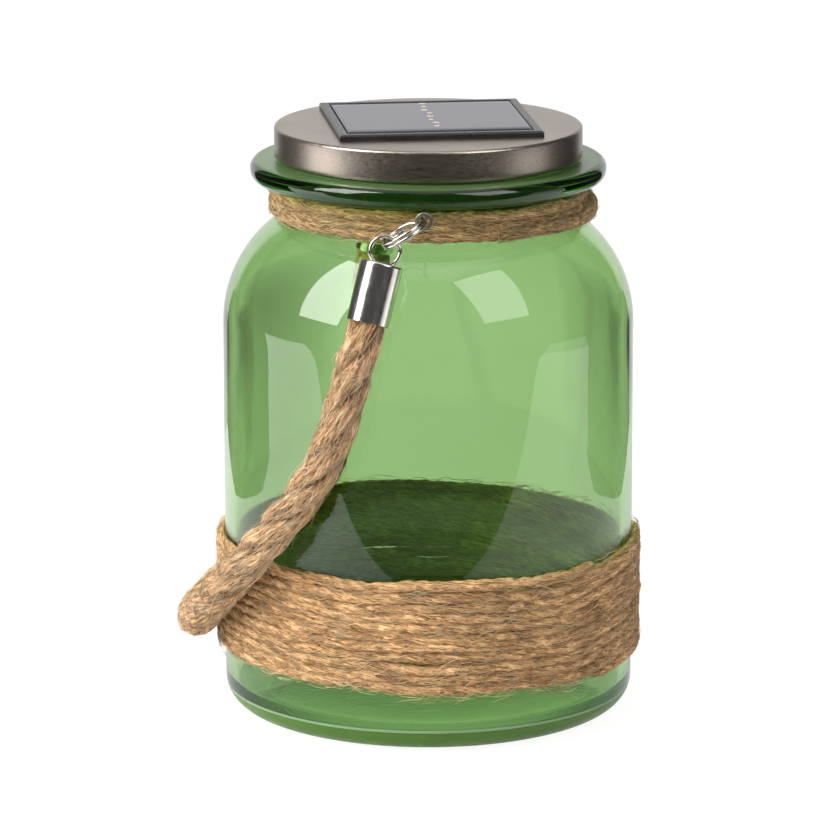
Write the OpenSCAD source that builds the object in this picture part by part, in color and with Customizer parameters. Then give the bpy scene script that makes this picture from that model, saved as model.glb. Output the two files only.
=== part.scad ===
// Solar lantern in a green glass jar: push-fit steel lid with a solar panel and
// a light module inside, jute twine wound round neck and foot, rope handle.
// Origin: centre of the ring that the jar stands on. +Z up, front towards -Y.

/* [Jar] */
// Outside diameter of the body
body_d = 110; // [90:1:140]
// Height of the mouth rim above the table
rim_h = 154.4; // [130:0.1:190]
// Thickness of the glass wall
wall = 3; // [2:0.1:3.6]
// Thickness of the floor at the wall
floor_t = 5.5; // [4:0.1:8]
// Outer radius of the heel, where wall and floor meet
heel_r = 8; // [5:0.5:12]
// Radius of the rounded shoulder
shoulder_r = 34.2; // [28:0.1:36]
// Bore of the mouth
mouth_d = 73; // [70:0.1:88]
// Thickness of the glass at the neck, under the twine
neck_wall = 2.7; // [2.4:0.1:3]
// Thickness of the glass at the collar that the lid covers
collar_wall = 3.6; // [3:0.1:4.5]
// How far the flange stands out from the collar
flange_out = 7.4; // [6:0.1:9]
// Height of the flange, bottom to top
flange_h = 5.7; // [5:0.1:7]
// Height of the collar above the flange
collar_h = 5.1; // [4:0.1:8]

/* [Twine] */
// Thickness of the twine
twine_d = 3; // [2:0.1:3.4]
// Turns of twine round the foot
foot_turns = 11; // [4:1:16]
// Lower edge of the foot winding above the table
foot_z = 16.3; // [10:0.1:30]
// How far the foot winding stands out from the glass
foot_proud = 2.1; // [1.8:0.1:3]
// Turns of twine round the neck
neck_turns = 3; // [2:1:3]

/* [Lid] */
// Gap between the steel lid and the collar, all round
lid_gap = 0.45; // [0.3:0.05:0.8]
// Height of the lid's skirt
skirt_h = 8.3; // [6:0.1:9]
// Thickness of the steel sheet
sheet = 0.5; // [0.3:0.1:0.6]
// Radius of the lid's rolled top edge
lid_edge_r = 0.8; // [0.6:0.1:1.2]
// Depth of the plastic housing below the lid's inside
housing_h = 19.2; // [18.5:0.1:24]
// Wall of the plastic housing
housing_wall = 1.6; // [1.2:0.1:2]

/* [Solar panel] */
// Width of the panel's frame
panel_w = 54; // [45:0.5:56]
// Depth of the panel's frame
panel_d = 51; // [45:0.5:56]
// Height of the panel's frame above the lid
panel_h = 1.5; // [1.2:0.1:3]
// Width of the frame's border
panel_border = 2.4; // [1.5:0.1:4]
// How far the panel is turned on the lid, in degrees
panel_turn = 5; // [-20:1:20]

/* [Battery and board] */
// Diameter of the battery
battery_d = 10.5; // [10:0.1:10.8]
// Length of the battery with its nub
battery_l = 44.5; // [40:0.1:46]
// Diameter of the light-emitting diode
led_d = 5; // [3:0.1:5.6]
// Travel of the switch
switch_travel = 2.5; // [1.5:0.1:3]

/* [Handle] */
// Thickness of the rope
rope_d = 10.4; // [9:0.1:10.6]
// Outside diameter of the rope's end caps
ferrule_d = 11.2; // [10.8:0.1:12]
// Thickness of the end caps' wall
ferrule_wall = 0.5; // [0.3:0.1:0.6]
// Wire of the two rings that hang in the eyes
link_wire = 1; // [0.9:0.05:1.1]
// Outside diameter of those rings
link_d = 13.1; // [12.4:0.1:14]
// Lean of the hanging rings from straight down, in degrees
link_lean = 59; // [50:1:65]
// Wire of the small rings in the end caps
bail_wire = 1.1; // [1:0.05:1.2]
// Outside diameter of the small rings
bail_d = 8.8; // [8.4:0.1:9.5]
// Wire of the eyes under the flange
eye_wire = 0.9; // [0.8:0.05:1]
// Hole in the eyes
eye_hole = 3; // [2.8:0.1:3.4]
// Wire that runs round the neck
neck_wire_d = 1; // [0.8:0.05:1]

/* [Hidden] */
$fn = 96;

// Small gaps: between pieces that are wound or glued on, and that slide or turn
touch = 0.05;
wound_gap = 0.15;
slide_gap = 0.3;

// Glass
body_r = body_d / 2;
mouth_r = mouth_d / 2;
neck_r = mouth_r + neck_wall;
collar_r = mouth_r + collar_wall;
flange_r = collar_r + flange_out;
flange_top = rim_h - collar_h;
flange_z = flange_top - flange_h;
flange_top_r = 2.2;
flange_low_r = 3;
inner_heel_r = 4;
stand_r = body_r - heel_r;
stand_w = 3.5;
punt_h = 2.5;
rim_edge_r = 0.8;
shoulder_x = body_r - shoulder_r;
shoulder_end = acos((neck_r - shoulder_x) / shoulder_r);
flat_shoulder = max(0, shoulder_end - 58);
neck_len = 2.2 + (neck_turns - 1) * (twine_d - 0.1) + twine_d / 2 + 0.04 * flat_shoulder;
shoulder_top = flange_z - neck_len;
shoulder_z = shoulder_top - shoulder_r * sin(shoulder_end);
inner_shoulder_r = shoulder_r - wall;

// Twine round foot and neck
foot_r = body_r + wound_gap;
foot_h = foot_turns * twine_d;
twine_r = twine_d / 2;
neck_twine_z = [for (i = [0 : neck_turns - 1]) flange_z - 2.8 - i * (twine_d - 0.1)];
neck_twine_x = neck_r + neck_wire_d + 0.6;

// Lid: its inside is the plane that the housing hangs from
lid_r = collar_r + lid_gap + sheet;
seal_h = 1.2;
disc_t = 2.1;
lid_seat = rim_h + slide_gap / 3;
lid_inside = lid_seat + seal_h + disc_t;
lid_top = lid_inside + sheet;
disc_r = collar_r - 0.4;
drum_r = mouth_r - 1;
drum_in = drum_r - housing_wall;
drum_low = lid_inside - housing_h;
grip_r = mouth_r - slide_gap;
floor_plate = 1.8;
floor_top = drum_low + floor_plate;
floor_r = drum_in - 0.2;
boss_d = 6;
boss_ring = 28.5;
boss_angles = [90, 210, 330];
screw_hole = 2.2;
screw_d = 2;
screw_head = 3.8;
screw_head_h = 1.2;

// Battery bay, lying across the housing
battery_r = battery_d / 2;
contact_t = 0.6;
battery_x = -2;
battery_y = 9;
battery_z = floor_top + 1.3 + battery_r;
bay_wall = 1.2;
bay_gap = 0.4;
contact_gap = 3;
bay_w = battery_d + 2 * bay_gap;
bay_l = battery_l + 2 * contact_gap;
bay_h = battery_d + 1;
nub_l = 0.8;
nub_d = 3.8;
cell_l = battery_l - nub_l;
cover_t = 1.2;
cover_gap = 0.2;
cover_w = bay_w + 1.6;
cover_boss = 4.6;
cover_low_x = battery_x - bay_l / 2 - 0.8;
cover_screw_x = battery_x + bay_l / 2 + bay_wall + cover_boss / 2 - 0.2;
cover_high_x = cover_screw_x + cover_boss / 2;
cover_hole = [battery_x - bay_l / 2 + 1.8, battery_x + bay_l / 2 - 2];
cover_hole_w = bay_w - 2;
tongue_t = 0.8;

// Circuit board beside the battery
board_y = -12.5;
board_w = 36;
board_l = 22;
board_t = 1.2;
board_z = floor_top + 6.8;
board_posts = [[-14, -20], [14, -20], [0, -4]];
post_d = 4.6;
led_x = -8;
led_y = -12;
led_flange_d = led_d + 0.9;
led_h = 8.6;
led_out = 3;
switch_x = 8;
switch_y = -11;
switch_l = 8.6;
switch_w = 4.4;
switch_h = 4.6;
slider_l = 3;
slider_w = 1.8;
slider_out = 1.1;

// Panel
panel_at = [0.5, 3];
panel_corner = 1.2;
cell_lip = 0.4;
cell_t = 1;
cell_w = panel_w - 2 * panel_border - 0.2;
cell_d = panel_d - 2 * panel_border - 0.2;
lead_hole = 4.4;
lead_d = 1.2;
peg_d = 3;
peg_at = 17;
peg_gap = 0.15;

// Hanging points: both eyes, and both hinges, lie on lines along Y
hang_x = -1.1;
hang_y = max(flange_r + 7.1, body_r - 0.4);
hang_z = flange_z - 0.9;
link_mean = (link_d - link_wire) / 2;
grip_x = hang_x - 2 * link_mean * sin(link_lean);
grip_z = hang_z - 2 * link_mean * cos(link_lean);
split_half = link_wire / 2 + 0.02;
eye_mean = (eye_hole + eye_wire) / 2;
neck_wire_x = neck_r + touch + neck_wire_d / 2;
neck_wire_z = flange_z - neck_wire_d / 2 - 0.1;

// End caps of the rope, front one: centre of the closed top and of the mouth
cap_top = [grip_x - 0.5, -hang_y + 0.3, grip_z - 4.9];
cap_mouth = [grip_x - 4.2, -hang_y - 3.4, grip_z - 19.8];
cap_axis = unit(cap_mouth - cap_top);
cap_l = norm(cap_mouth - cap_top);
cap_plate = 0.8;
cap_bore = ferrule_d / 2 - ferrule_wall;
bail_mean = (bail_d - bail_wire) / 2;
bail_rise = 3.3;
bail_gap = 0.15;
rope_in = 3.2;
rope_end_r = cap_bore - 0.15;

// Centre line of the rope's front and back halves, from the end caps' mouths to the middle
rope_front = [
    [-16.5, -58.5, 113.5], [-17.5, -58.6, 110], [-19.4, -58.2, 104], [-21.8, -57.4, 95],
    [-24.6, -56.2, 86], [-27.3, -54.9, 79], [-30.3, -53.3, 73], [-34.9, -51.1, 66],
    [-40.2, -48.4, 59], [-45, -44.4, 52.5], [-49.9, -38.8, 45.5], [-55, -31.1, 38],
    [-59.1, -22.1, 31.5], [-61.8, -12, 26], [-62.7, -6, 24.2],
];
rope_back = [
    [-16.2, 58.6, 113.5], [-16.5, 59, 110], [-16.8, 59.4, 104], [-17.2, 59.4, 96],
    [-18.4, 59, 88], [-20.8, 58.4, 79], [-23.6, 57.6, 69], [-26.8, 56.4, 59],
    [-30.6, 55, 50.5], [-35.2, 52.2, 43.5], [-40.6, 48.1, 37.5], [-46, 43, 33],
    [-51, 36.9, 29], [-55.6, 29.5, 26], [-59.4, 20.8, 23.8], [-62.1, 10.4, 23],
];
rope_middle = [-63, 0, 23.5];

// Vector and tube helpers
function unit(v) = v / norm(v);
function last(p) = len(p) - 1;
function heading(p, i) = unit(p[min(i + 1, last(p))] - p[max(i - 1, 0)]);
function across(v, t) = unit(v - (v * t) * t);
function sides_along(p, v0) = [
    for (i = 0, v = across(v0, heading(p, 0)); i < len(p);
         i = i + 1, v = i < len(p) ? across(v, heading(p, i)) : v) v
];
function reversed(p) = [for (i = [last(p) : -1 : 0]) p[i]];
function mirrored(p) = [for (q = p) [q.x, -q.y, q.z]];
function arc(cx, cy, r, a0, a1, n) = [
    for (i = [0 : n]) let (a = a0 + (a1 - a0) * i / n) [cx + r * cos(a), cy + r * sin(a)]
];

// Closed tube through the points p, with a radius for each point
module tube(p, radii, sides, v0) {
    v = sides_along(p, v0);
    n = sides;
    points = [
        for (i = [0 : last(p)])
            let (t = heading(p, i), w = cross(t, v[i]))
                for (k = [0 : n - 1])
                    p[i] + radii[i] * (cos(360 * k / n) * v[i] + sin(360 * k / n) * w)
    ];
    walls = [
        for (i = [0 : last(p) - 1], k = [0 : n - 1])
            let (a = i * n + k, b = i * n + (k + 1) % n)
                each [[a, a + n, b + n], [a, b + n, b]]
    ];
    start = [for (k = [0 : n - 1]) k];
    end = [for (k = [n - 1 : -1 : 0]) last(p) * n + k];
    polyhedron(points, concat([start], walls, [end]));
}

module wire(p, d, v0) {
    tube(p, [for (q = p) d / 2], 8, v0);
}

// Ring of round wire about the Z axis
module ring(mean_r, wire_d) {
    rotate_extrude() translate([mean_r, 0]) circle(wire_d / 2, $fn = 32);
}

// Turns the Z axis to the direction v
module point_along(v) {
    rotate([0, acos(v.z / norm(v)), atan2(v.y, v.x)]) children();
}

module screw(length) {
    cylinder(d = screw_d, h = length, $fn = 32);
    translate([0, 0, -screw_head_h]) difference() {
        cylinder(d = screw_head, h = screw_head_h, $fn = 32);
        for (turn = [0, 90]) rotate(turn)
            translate([-1.1, -0.2, -1]) cube([2.2, 0.4, 1.6]);
    }
}

// Glass jar: half outline of the outside, turned about the axis
module jar_outside() {
    polygon(concat(
        [[0, 0]],
        arc(stand_r, heel_r, heel_r, -90, 0, 9),
        arc(shoulder_x, shoulder_z, shoulder_r, 0, shoulder_end, 10),
        [[neck_r, shoulder_top + 1], [neck_r, flange_z - 0.4]],
        [[neck_r + 0.4, flange_z]],
        arc(flange_r - flange_low_r, flange_z + flange_low_r, flange_low_r, -90, 0, 6),
        arc(flange_r - flange_top_r, flange_top - flange_top_r, flange_top_r, 0, 90, 5),
        [[collar_r + 0.6, flange_top], [collar_r, flange_top + 0.6]],
        arc(collar_r - rim_edge_r, rim_h - rim_edge_r, rim_edge_r, 0, 90, 4),
        [[0, rim_h]]
    ));
}

module jar_inside() {
    inner_end = acos((mouth_r - shoulder_x) / inner_shoulder_r);
    bore_low = shoulder_z + inner_shoulder_r * sin(inner_end);
    polygon(concat(
        [[0, floor_t - 0.6]],
        arc(body_r - wall - inner_heel_r, floor_t + inner_heel_r, inner_heel_r, -90, 0, 6),
        arc(shoulder_x, shoulder_z, inner_shoulder_r, 0, inner_end, 10),
        [[mouth_r, bore_low + 1], [mouth_r, rim_h + 1], [0, rim_h + 1]]
    ));
}

module glass_jar() {
    color([0.42, 0.72, 0.38, 0.55]) rotate_extrude() difference() {
        jar_outside();
        jar_inside();
        polygon([[0, -1], [stand_r - stand_w + 1, -1], [stand_r - stand_w, 0],
                 [stand_r - stand_w - 4, punt_h - 0.7], [0, punt_h]]);
    }
}

// Steel wire round the neck, with a stalk and an eye at the front and the back
module eye_and_stalk() {
    eye_low = hang_z - eye_mean;
    stalk = [
        [hang_x, -neck_wire_x, neck_wire_z], [hang_x, -neck_wire_x - 4, neck_wire_z],
        [hang_x, -hang_y + 8, neck_wire_z], [hang_x, -hang_y + 6.6, neck_wire_z - 0.7],
        [hang_x, -hang_y + 5.4, eye_low + 0.4], [hang_x, -hang_y + 4.2, eye_low - 0.2],
        [hang_x, -hang_y + 1.4, eye_low - 0.2], [hang_x, -hang_y, eye_low],
    ];
    wire(stalk, eye_wire, [1, 0, 0]);
    translate([hang_x, -hang_y, hang_z]) rotate([90, 0, 0]) ring(eye_mean, eye_wire);
}

module neck_wire() {
    color("silver") {
        translate([0, 0, neck_wire_z]) ring(neck_wire_x, neck_wire_d);
        eye_and_stalk();
        mirror([0, 1, 0]) eye_and_stalk();
    }
}

// Twine windings: one round bead for each turn, on a flat backing
module neck_twine() {
    color("burlywood") rotate_extrude() intersection() {
        union() {
            for (z = neck_twine_z)
                translate([neck_twine_x + (z < flange_z - 7.5 ? 0.5 : 0), z]) circle(twine_r);
        }
        translate([neck_r + wound_gap, 0]) square([10, flange_z - 1.2]);
    }
}

module foot_twine() {
    backing = foot_proud - 0.9;
    color("burlywood") rotate_extrude() intersection() {
        union() {
            translate([foot_r, foot_z + 0.4]) square([backing, foot_h - 0.8]);
            for (i = [0 : foot_turns - 1])
                translate([body_r + foot_proud - twine_r, foot_z + (i + 0.5) * twine_d])
                    circle(twine_r + touch);
        }
        translate([foot_r, 0]) square([10, 100]);
    }
}

// Steel lid, open below, with holes for the panel's pegs and leads
module lid_outline(r, top, edge) {
    translate([0, lid_top - skirt_h]) square([r, skirt_h - edge - (lid_top - top)]);
    translate([0, top - edge - 0.01]) square([r - edge, edge + 0.01]);
    translate([r - edge, top - edge]) circle(edge, $fn = 32);
}

module panel_holes(d, below) {
    translate([panel_at.x, panel_at.y, below]) rotate(panel_turn) {
        for (x = [-peg_at, peg_at]) translate([x, 0, 0]) cylinder(d = d, h = 12, $fn = 32);
        translate([0, -peg_at, 0]) cylinder(d = lead_hole, h = 12, $fn = 32);
    }
}

module lid_cap() {
    color([0.62, 0.6, 0.58]) difference() {
        rotate_extrude() difference() {
            lid_outline(lid_r, lid_top, lid_edge_r);
            translate([0, lid_top - skirt_h - 1])
                square([lid_r - sheet, lid_inside - lid_top + skirt_h + 1]);
        }
        panel_holes(peg_d + 2 * peg_gap, lid_inside - 5);
    }
}

// Plastic housing that plugs the mouth: disc, drum, grip ribs and screw bosses
module lid_housing() {
    color([0.09, 0.09, 0.1]) difference() {
        union() {
            translate([0, 0, lid_inside - disc_t]) cylinder(r = disc_r, h = disc_t);
            difference() {
                union() {
                    translate([0, 0, drum_low]) cylinder(r = drum_r, h = housing_h - 1);
                    for (z = [4.5, 7.5]) translate([0, 0, lid_inside - disc_t - z])
                        rotate_extrude() translate([grip_r - 0.7, 0]) circle(0.7, $fn = 32);
                }
                translate([0, 0, drum_low - 1]) cylinder(r = drum_in, h = housing_h - disc_t + 1);
            }
            for (a = boss_angles) rotate(a) translate([boss_ring, 0, floor_top])
                cylinder(d = boss_d, h = lid_inside - 1 - floor_top);
        }
        for (a = boss_angles) rotate(a) translate([boss_ring, 0, floor_top - 1])
            cylinder(d = screw_d, h = 9, $fn = 32);
        panel_holes(peg_d + 2 * peg_gap, lid_inside - 5);
    }
}

module seal_ring() {
    color([0.75, 0.75, 0.72]) translate([0, 0, lid_seat]) difference() {
        cylinder(r = disc_r, h = seal_h);
        translate([0, 0, -1]) cylinder(r = mouth_r + 0.4, h = seal_h + 2);
    }
}

// Floor of the housing, with the battery bay, board posts and openings
module bay_box(x0, x1, width, low, h) {
    translate([x0, battery_y - width / 2, low]) cube([x1 - x0, width, h]);
}

module bay_walls() {
    x0 = battery_x - bay_l / 2;
    x1 = battery_x + bay_l / 2;
    difference() {
        bay_box(x0 - bay_wall, x1 + bay_wall, bay_w + 2 * bay_wall, floor_top - 0.5, bay_h + 0.5);
        bay_box(x0, x1, bay_w, floor_top - 1, bay_h + 2);
    }
}

module housing_floor() {
    color([0.13, 0.13, 0.14]) difference() {
        union() {
            translate([0, 0, drum_low]) cylinder(r = floor_r, h = floor_plate);
            bay_walls();
            translate([cover_screw_x, battery_y, floor_top - 0.3])
                cylinder(d = cover_boss, h = 4.3);
            for (p = board_posts) translate([p.x, p.y, drum_low + 0.5])
                cylinder(d = post_d, h = board_z - drum_low - 0.5);
        }
        bay_box(cover_hole[0], cover_hole[1], cover_hole_w, drum_low - 1, floor_plate + 2);
        bay_box(cover_low_x, cover_high_x, cover_w, drum_low - 1, cover_t + 1);
        translate([cover_screw_x, battery_y, drum_low - 1])
            cylinder(d = screw_d, h = floor_plate + 5, $fn = 32);
        for (a = boss_angles) rotate(a) translate([boss_ring, 0, drum_low - 1]) {
            cylinder(d = screw_hole, h = floor_plate + 2, $fn = 32);
            cylinder(d = screw_head + 0.4, h = screw_head_h - 0.2 + 1, $fn = 32);
        }
        for (p = board_posts) translate([p.x, p.y, board_z - 5])
            cylinder(d = screw_d, h = 6, $fn = 32);
        translate([led_x, led_y, drum_low - 1]) cylinder(d = led_d + 0.4, h = floor_plate + 2);
        translate([switch_x - (slider_l + switch_travel) / 2 - slide_gap,
                   switch_y - slider_w / 2 - slide_gap, drum_low - 1])
            cube([slider_l + switch_travel + 2 * slide_gap, slider_w + 2 * slide_gap, floor_plate + 2]);
    }
}

module floor_screws() {
    color("silver") for (a = boss_angles) rotate(a)
        translate([boss_ring, 0, drum_low + screw_head_h - 0.2]) screw(6);
}

// Battery cover: screwed at one end, held by a tongue at the other, ribbed below
module battery_cover() {
    hook_x = cover_hole[0] + cover_gap;
    color([0.16, 0.16, 0.17]) difference() {
        union() {
            bay_box(cover_low_x + cover_gap, cover_high_x - cover_gap, cover_w - 2 * cover_gap,
                    drum_low, cover_t);
            bay_box(hook_x, hook_x + 1.6, cover_hole_w - 2, drum_low + 0.5,
                    floor_plate - 0.5 + cover_gap + tongue_t);
            bay_box(hook_x - 1.4, hook_x + 1, cover_hole_w - 2, floor_top + cover_gap, tongue_t);
        }
        translate([cover_screw_x, battery_y, drum_low - 1])
            cylinder(d = screw_hole, h = cover_t + 2, $fn = 32);
        for (i = [-4 : 4]) translate([i * 2.4 - 0.4, battery_y - 3, drum_low - 1])
            cube([0.8, 6, 1.4]);
    }
}

module cover_screw() {
    color("silver") translate([cover_screw_x, battery_y, drum_low]) screw(4.5);
}

// Battery and its two contacts
module battery() {
    color([0.2, 0.45, 0.3]) translate([battery_x - battery_l / 2, battery_y, battery_z])
        rotate([0, 90, 0]) rotate_extrude() {
            translate([0, 0.3]) square([battery_r, cell_l - 0.3]);
            square([battery_r - 0.8, cell_l]);
            square([nub_d / 2, battery_l]);
        }
}

module contact_sheet(x) {
    translate([x, battery_y - 4.6, battery_z - 4.6]) cube([contact_t, 9.2, 11.6]);
}

module battery_spring() {
    turns = 4;
    steps = 14;
    base_r = 3.6;
    tip_r = 1.8;
    spring_wire = 0.5;
    sheet_x = battery_x - battery_l / 2 - contact_gap + touch;
    first = sheet_x + contact_t + spring_wire / 2 - 0.05;
    rise = battery_x - battery_l / 2 - spring_wire / 2 - touch - first;
    coil = [
        for (i = [0 : turns * steps])
            let (f = i / (turns * steps), a = 360 * i / steps, r = base_r + (tip_r - base_r) * f)
                [first + rise * f, battery_y + r * cos(a), battery_z + r * sin(a)]
    ];
    color("silver") {
        wire(coil, spring_wire, [1, 0, 0]);
        contact_sheet(sheet_x);
    }
}

module battery_plate() {
    tip = battery_x + battery_l / 2;
    sheet_x = tip + contact_gap - contact_t - touch;
    color("silver") {
        contact_sheet(sheet_x);
        translate([tip + touch, battery_y, battery_z]) rotate([0, 90, 0])
            cylinder(d1 = 3, d2 = 6.5, h = sheet_x - tip);
    }
}

// Solar panel: framed tray with two pegs, cell, leads
module panel_frame_2d(w, d, r) {
    for (x = [-1, 1], y = [-1, 1]) translate([x * (w / 2 - r), y * (d / 2 - r)]) circle(r, $fn = 32);
    square([w - 2 * r, d], center = true);
    square([w, d - 2 * r], center = true);
}

module on_lid(z) {
    translate([panel_at.x, panel_at.y, z]) rotate(panel_turn) children();
}

module solar_tray() {
    color([0.05, 0.05, 0.06]) on_lid(lid_top) difference() {
        union() {
            linear_extrude(panel_h) panel_frame_2d(panel_w, panel_d, panel_corner);
            for (x = [-peg_at, peg_at]) translate([x, 0, -sheet - disc_t])
                cylinder(d = peg_d, h = sheet + disc_t + 0.3, $fn = 32);
        }
        translate([0, 0, panel_h - cell_lip - cell_t])
            linear_extrude(cell_t + cell_lip + 1)
                square([cell_w + 0.2, cell_d + 0.2], center = true);
        translate([0, -peg_at, -1]) cylinder(d = lead_hole, h = 5, $fn = 32);
    }
}

module solar_cell() {
    color([0.36, 0.34, 0.42]) on_lid(lid_top + panel_h - cell_lip - cell_t)
        translate([-cell_w / 2, -cell_d / 2, 0]) cube([cell_w, cell_d, cell_t]);
}

module solar_leads() {
    top = lid_top + panel_h - cell_lip - cell_t;
    start = [panel_at.x + peg_at * sin(panel_turn), panel_at.y - peg_at * cos(panel_turn), top];
    for (side = [-1, 1]) color(side < 0 ? "black" : "firebrick") wire([
        start + [side * 0.8, 0, 0], start + [side * 0.8, 0, -3], start + [side * 0.9, 0, -4.5],
        start + [side * 1.4, -0.2, -6], start + [side * 2.2, -0.6, -8],
        start + [side * 2.6, -0.8, board_z + board_t - top + 0.5],
        start + [side * 2.6, -0.8, board_z + board_t - top],
    ], lead_d, [0, 1, 0]);
}

module battery_leads() {
    board_top = board_z + board_t;
    wall_y = battery_y - bay_w / 2;
    over = min(floor_top + bay_h + 1.35, lid_inside - disc_t - lead_d / 2 - 0.2);
    for (side = [-1, 1]) {
        x = battery_x + side * (battery_l / 2 + contact_gap - contact_t - lead_d);
        color(side < 0 ? "black" : "firebrick") wire([
            [x, wall_y + 1.65, over], [x - side * 0.4, wall_y - 0.35, over + 0.1],
            [x - side * 3.4, wall_y - 3.35, over - 0.3], [side * 17, -3.5, over - 1.8],
            [side * 15.6, -5, board_top + 3], [side * 15.4, -5.2, board_top + 1.5],
            [side * 15.4, -5.2, board_top],
        ], lead_d, [0, 0, 1]);
    }
}

// Circuit board and what is soldered to it
module circuit_board() {
    color([0.1, 0.35, 0.2]) difference() {
        translate([-board_w / 2, board_y - board_l / 2, board_z]) cube([board_w, board_l, board_t]);
        for (p = board_posts) translate([p.x, p.y, board_z - 1])
            cylinder(d = screw_hole, h = board_t + 2, $fn = 32);
    }
}

module board_parts() {
    top = board_z + board_t;
    color([0.1, 0.1, 0.1]) {
        translate([-2.5, -12.5, top]) cube([5, 4, 1.5]);
        translate([-12.5, -12, top]) cylinder(d = 5, h = 5);
        translate([8, -18, top + 1.25]) rotate([0, 90, 0]) translate([0, 0, -3])
            cylinder(d = 2.5, h = 6, $fn = 32);
    }
}

module board_screws() {
    color("silver") for (p = board_posts) translate([p.x, p.y, board_z + board_t])
        rotate([180, 0, 0]) screw(board_t + 3);
}

module light_diode() {
    dome_z = drum_low - led_out + led_d / 2;
    flange_z0 = drum_low - led_out + led_h - 1;
    color([0.95, 0.93, 0.85]) translate([led_x, led_y, 0]) {
        rotate_extrude() intersection() {
            union() {
                translate([0, dome_z]) circle(led_d / 2);
                translate([0, dome_z]) square([led_d / 2, flange_z0 - dome_z]);
                translate([0, flange_z0]) square([led_flange_d / 2, 1]);
            }
            translate([0, drum_low - led_out - 1]) square([10, led_h + 2]);
        }
        for (x = [-1.27, 1.27]) translate([x - 0.25, -0.25, flange_z0 + 0.5])
            cube([0.5, 0.5, board_z - flange_z0 - 0.5]);
    }
}

// Slide switch: fixed body and moving slider, drawn in its off place
module switch_body() {
    low = board_z - switch_h;
    color("silver") difference() {
        translate([switch_x - switch_l / 2, switch_y - switch_w / 2, low])
            cube([switch_l, switch_w, switch_h]);
        translate([switch_x - (slider_l + switch_travel) / 2 - slide_gap,
                   switch_y - slider_w / 2 - slide_gap, low - 1])
            cube([slider_l + switch_travel + 2 * slide_gap, slider_w + 2 * slide_gap, 3]);
    }
}

module switch_slider() {
    low = drum_low - slider_out;
    color([0.08, 0.08, 0.08])
        translate([switch_x - (slider_l + switch_travel) / 2, switch_y - slider_w / 2, low])
            difference() {
                cube([slider_l, slider_w, board_z - switch_h + 1.6 - low]);
                for (x = [0.6, 1.4, 2.2]) translate([x, -1, -1]) cube([0.3, slider_w + 2, 1.35]);
            }
}

// Split ring of two turns in the XY plane, with the step between its turns at +X
module split_ring(mean_r, wire_d) {
    step_half = 25;
    path = [
        for (a = [step_half : 10 : 720 - step_half])
            let (f = min(max((a - 360 + step_half) / (2 * step_half), 0), 1),
                 s = f * f * (3 - 2 * f))
                [mean_r * cos(a), mean_r * sin(a), split_half * (2 * s - 1)]
    ];
    wire(path, wire_d, [1, 0, 0]);
}

module hanging_link() {
    translate([hang_x, -hang_y, hang_z]) rotate([0, link_lean, 0])
        translate([0, 0, -link_mean]) rotate([0, 90, 0]) rotate(120)
            split_ring(link_mean, link_wire);
}

module link_front() {
    color("silver") hanging_link();
}

module link_back() {
    color("silver") mirror([0, 1, 0]) hanging_link();
}

// Small ring through the closed top of an end cap
module bail_place() {
    translate(cap_top - bail_rise * cap_axis) point_along(-cap_axis)
        rotate(atan2(cap_axis.y, -cap_axis.x)) rotate([90, 0, 0]) children();
}

module bail_front() {
    color("silver") bail_place() ring(bail_mean, bail_wire);
}

module bail_back() {
    color("silver") mirror([0, 1, 0]) bail_place() ring(bail_mean, bail_wire);
}

// End cap: drawn cup with a closed top, a slot for the ring and a rolled lip
module end_cap() {
    r = ferrule_d / 2;
    difference() {
        translate(cap_top) point_along(cap_axis) rotate_extrude() difference() {
            union() {
                square([r - 0.6, cap_l]);
                translate([0, 0.6]) square([r, cap_l - 0.6]);
                translate([r - 0.6, 0.6]) circle(0.6, $fn = 32);
            }
            translate([0, cap_plate]) square([cap_bore, cap_l]);
        }
        bail_place() ring(bail_mean, bail_wire + 2 * bail_gap);
    }
}

module ferrule_front() {
    color([0.8, 0.79, 0.77]) end_cap();
}

module ferrule_back() {
    color([0.8, 0.79, 0.77]) mirror([0, 1, 0]) end_cap();
}

// Rope: squeezed in the end caps, full thickness between them
module rope_handle() {
    in_cap = [cap_top + rope_in * cap_axis, cap_mouth - 0.5 * cap_axis];
    line = concat(in_cap, rope_front, [rope_middle], reversed(concat(mirrored(in_cap), rope_back)));
    squeezed = [rope_end_r, rope_end_r];
    radii = concat(squeezed, [for (i = [2 : last(line) - 2]) rope_d / 2], squeezed);
    color([0.76, 0.6, 0.42]) tube(line, radii, 12, [1, 0, 0]);
}

glass_jar();
neck_wire();
neck_twine();
foot_twine();
lid_cap();
lid_housing();
seal_ring();
housing_floor();
floor_screws();
battery_cover();
cover_screw();
battery();
battery_spring();
battery_plate();
solar_tray();
solar_cell();
solar_leads();
battery_leads();
circuit_board();
board_parts();
board_screws();
light_diode();
switch_body();
switch_slider();
link_front();
link_back();
bail_front();
bail_back();
ferrule_front();
ferrule_back();
rope_handle();
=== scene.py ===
# %% [markdown]
# # A green glass lantern with a rope handle
# The lantern is a pressed glass jar with twine wound round its neck and foot. A steel lid with
# a small solar panel closes it, and a laid jute rope hangs from two wire rings as its handle.
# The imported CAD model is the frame: it holds every size, and each piece made here is built on it.

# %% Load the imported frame
import math

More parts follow.
